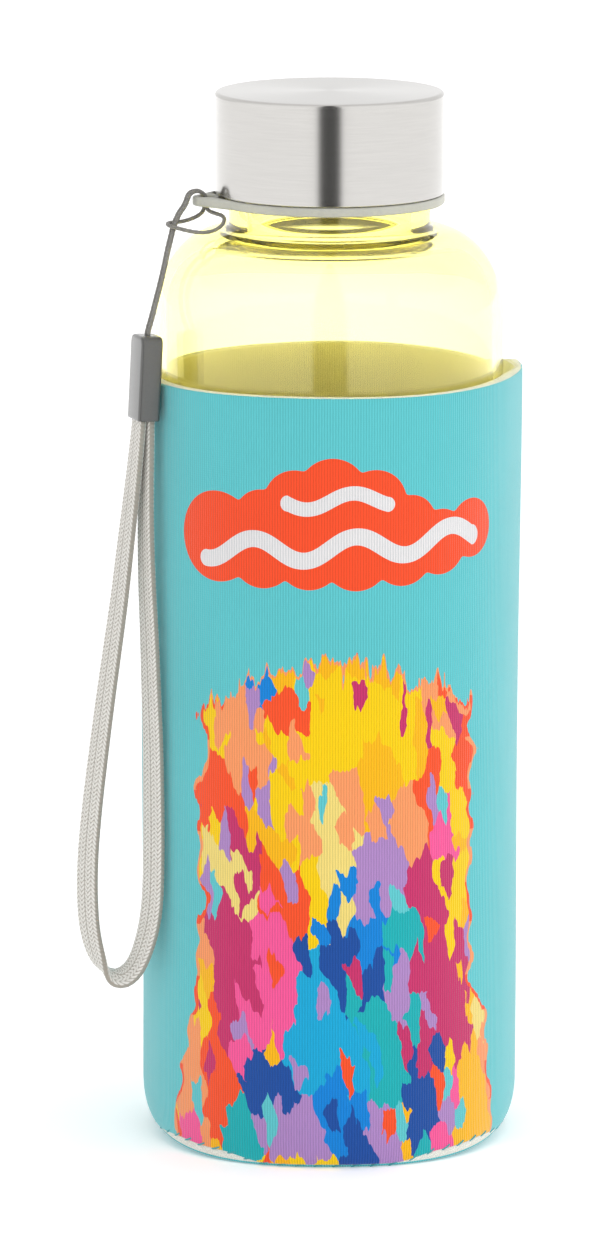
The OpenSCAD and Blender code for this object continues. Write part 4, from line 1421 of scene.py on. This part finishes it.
side_path = [at(0, outer_r(0, z) - 0.05, z) for z in range(9, 147, 2)]
stitch_row("side_stitches", side_path, [(1, 0, 0)] * len(side_path), False, "side_seam_thread",
           **{"Pitch": 3.6 * MM, "Stitch length": 2.8 * MM, "Thread thickness": 0.4 * MM,
              "Bow": 0.28 * MM, "Slant": 0.0})
ring_path = [at(a, squarish(a) + 0.18, hem_z(a) - 0.02) for a in range(0, 360, 2)]
ring_away = [(math.cos(math.radians(a)), math.sin(math.radians(a)), -0.5) for a in range(0, 360, 2)]
stitch_row("base_stitches", ring_path, ring_away, True, "base_seam_thread",
           **{"Pitch": 3.6 * MM, "Stitch length": 2.6 * MM, "Thread thickness": 0.35 * MM,
              "Bow": 0.2 * MM, "Slant": math.radians(24)})

# %% [markdown]
# ## Hidden threads
#
# The knot of the lug cord and the tack that joins the band's ends sit inside the clasp. Their CAD shapes
# are right as they are, and only need their yarns.

# %% Hidden threads
white_thread = yarn_finish("white_thread", "f0efec", "cfcdc8", fibre=(5000, 5000, 1), depth=0.00002)
paint(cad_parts["cord_knot"], cord_yarn)
paint(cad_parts["webbing_tack"], white_thread)
print("hidden threads: 2")

# %% [markdown]
# ## The studio
#
# The bottle stands on a white floor under a white dome that is a little brighter on the right. The floor
# glows a little, which washes out the contact shadow. Shiny things need something to reflect, so mirror
# rays see brighter surroundings with one narrow dark gap straight in front, and that gap is the stripe on
# the steel cup. The cup's side mirrors the floor, so both the floor and the World have the gap. The World's
# gap runs all the way up, so from behind, the cup's flat top mirrors it and looks nearly black. What shows
# through the glass is brighter than the rest, and light that goes through the glass onto the lining is
# brighter still, which keeps the glass clear and pale.

# %% Studio
RAY_KINDS = ("Is Glossy Ray", "Is Transmission Ray", "Diffuse Depth")
# the dark gap ends softly between these two sines of the angle to the side
GAP_FULL, GAP_GONE = 0.15, 0.24
FLOOR_GLOW = 0.2
# the World's brightness through the glass, and what is added for light on its way to the lining
BEHIND_GLASS, ON_LINING = 2.1, 3.1


def dark_gap(x, y):
    """1 in the narrow dark gap straight in front of the bottle, and 0 beside it."""
    flat = (x * x + y * y).math("SQRT") + 0.001
    return (1.0 - (x / flat).abs().ramp(GAP_FULL, GAP_GONE)) * (y / flat * -1.0).ramp(0.0, 0.3)


def add_floor():
    floor = add_piece("studio_floor", bpy.data.meshes.new("studio_floor"))
    floor.data.from_pydata([(-5, -4, 0), (5, -4, 0), (5, 6, 0), (-5, 6, 0)], [], [(0, 1, 2, 3)])
    material, tree, shader = new_finish("studio_white", Roughness=0.95)
    tone = noise(tree, place(tree, (3, 3, 3)), detail=1)
    path = add(tree, "ShaderNodeLightPath")
    glossy, through, bounced = (Field(tree, path.outputs[s]) for s in RAY_KINDS)
    x, y, _ = coordinates(tree, "Object")
    gap = dark_gap(x, y) * glossy
    white = mix_colour(tree, tone, srgb("fbfbfb"), srgb("ffffff"))
    plug(tree, shader.inputs["Base Color"], mix_colour(tree, gap * 0.97, white, srgb("101010")))
    shader.inputs["Emission Color"].default_value = (1, 1, 1, 1)
    seen = through * (bounced.over(0.5) * 3.0 + 1.0) + FLOOR_GLOW
    plug(tree, shader.inputs["Emission Strength"], (seen + glossy * 0.25) * (1.0 - gap))
    paint(floor, material)


def make_world():
    world = bpy.data.worlds.new("studio")
    bpy.context.scene.world = world
    world.use_nodes = True
    tree = world.node_tree
    background = tree.nodes["Background"]
    x, y, z = coordinates(tree, "Generated")
    path = add(tree, "ShaderNodeLightPath")
    glossy, through, bounced = (Field(tree, path.outputs[s]) for s in RAY_KINDS)
    mirrored = 1.5 - dark_gap(x, y) * 1.4 - (y + z).ramp(0.1, 0.8) * 0.36
    dome = 1.03 + x * 0.32 + z * 0.04
    behind = bounced.over(0.5) * ON_LINING + BEHIND_GLASS
    strength = dome + (mirrored - dome) * glossy + (behind - dome) * through
    background.inputs["Color"].default_value = (1, 1, 1, 1)
    plug(tree, background.inputs["Strength"], strength)


add_floor()
make_world()
bpy.context.scene.view_settings.view_transform = "Standard"
print("studio is lit")
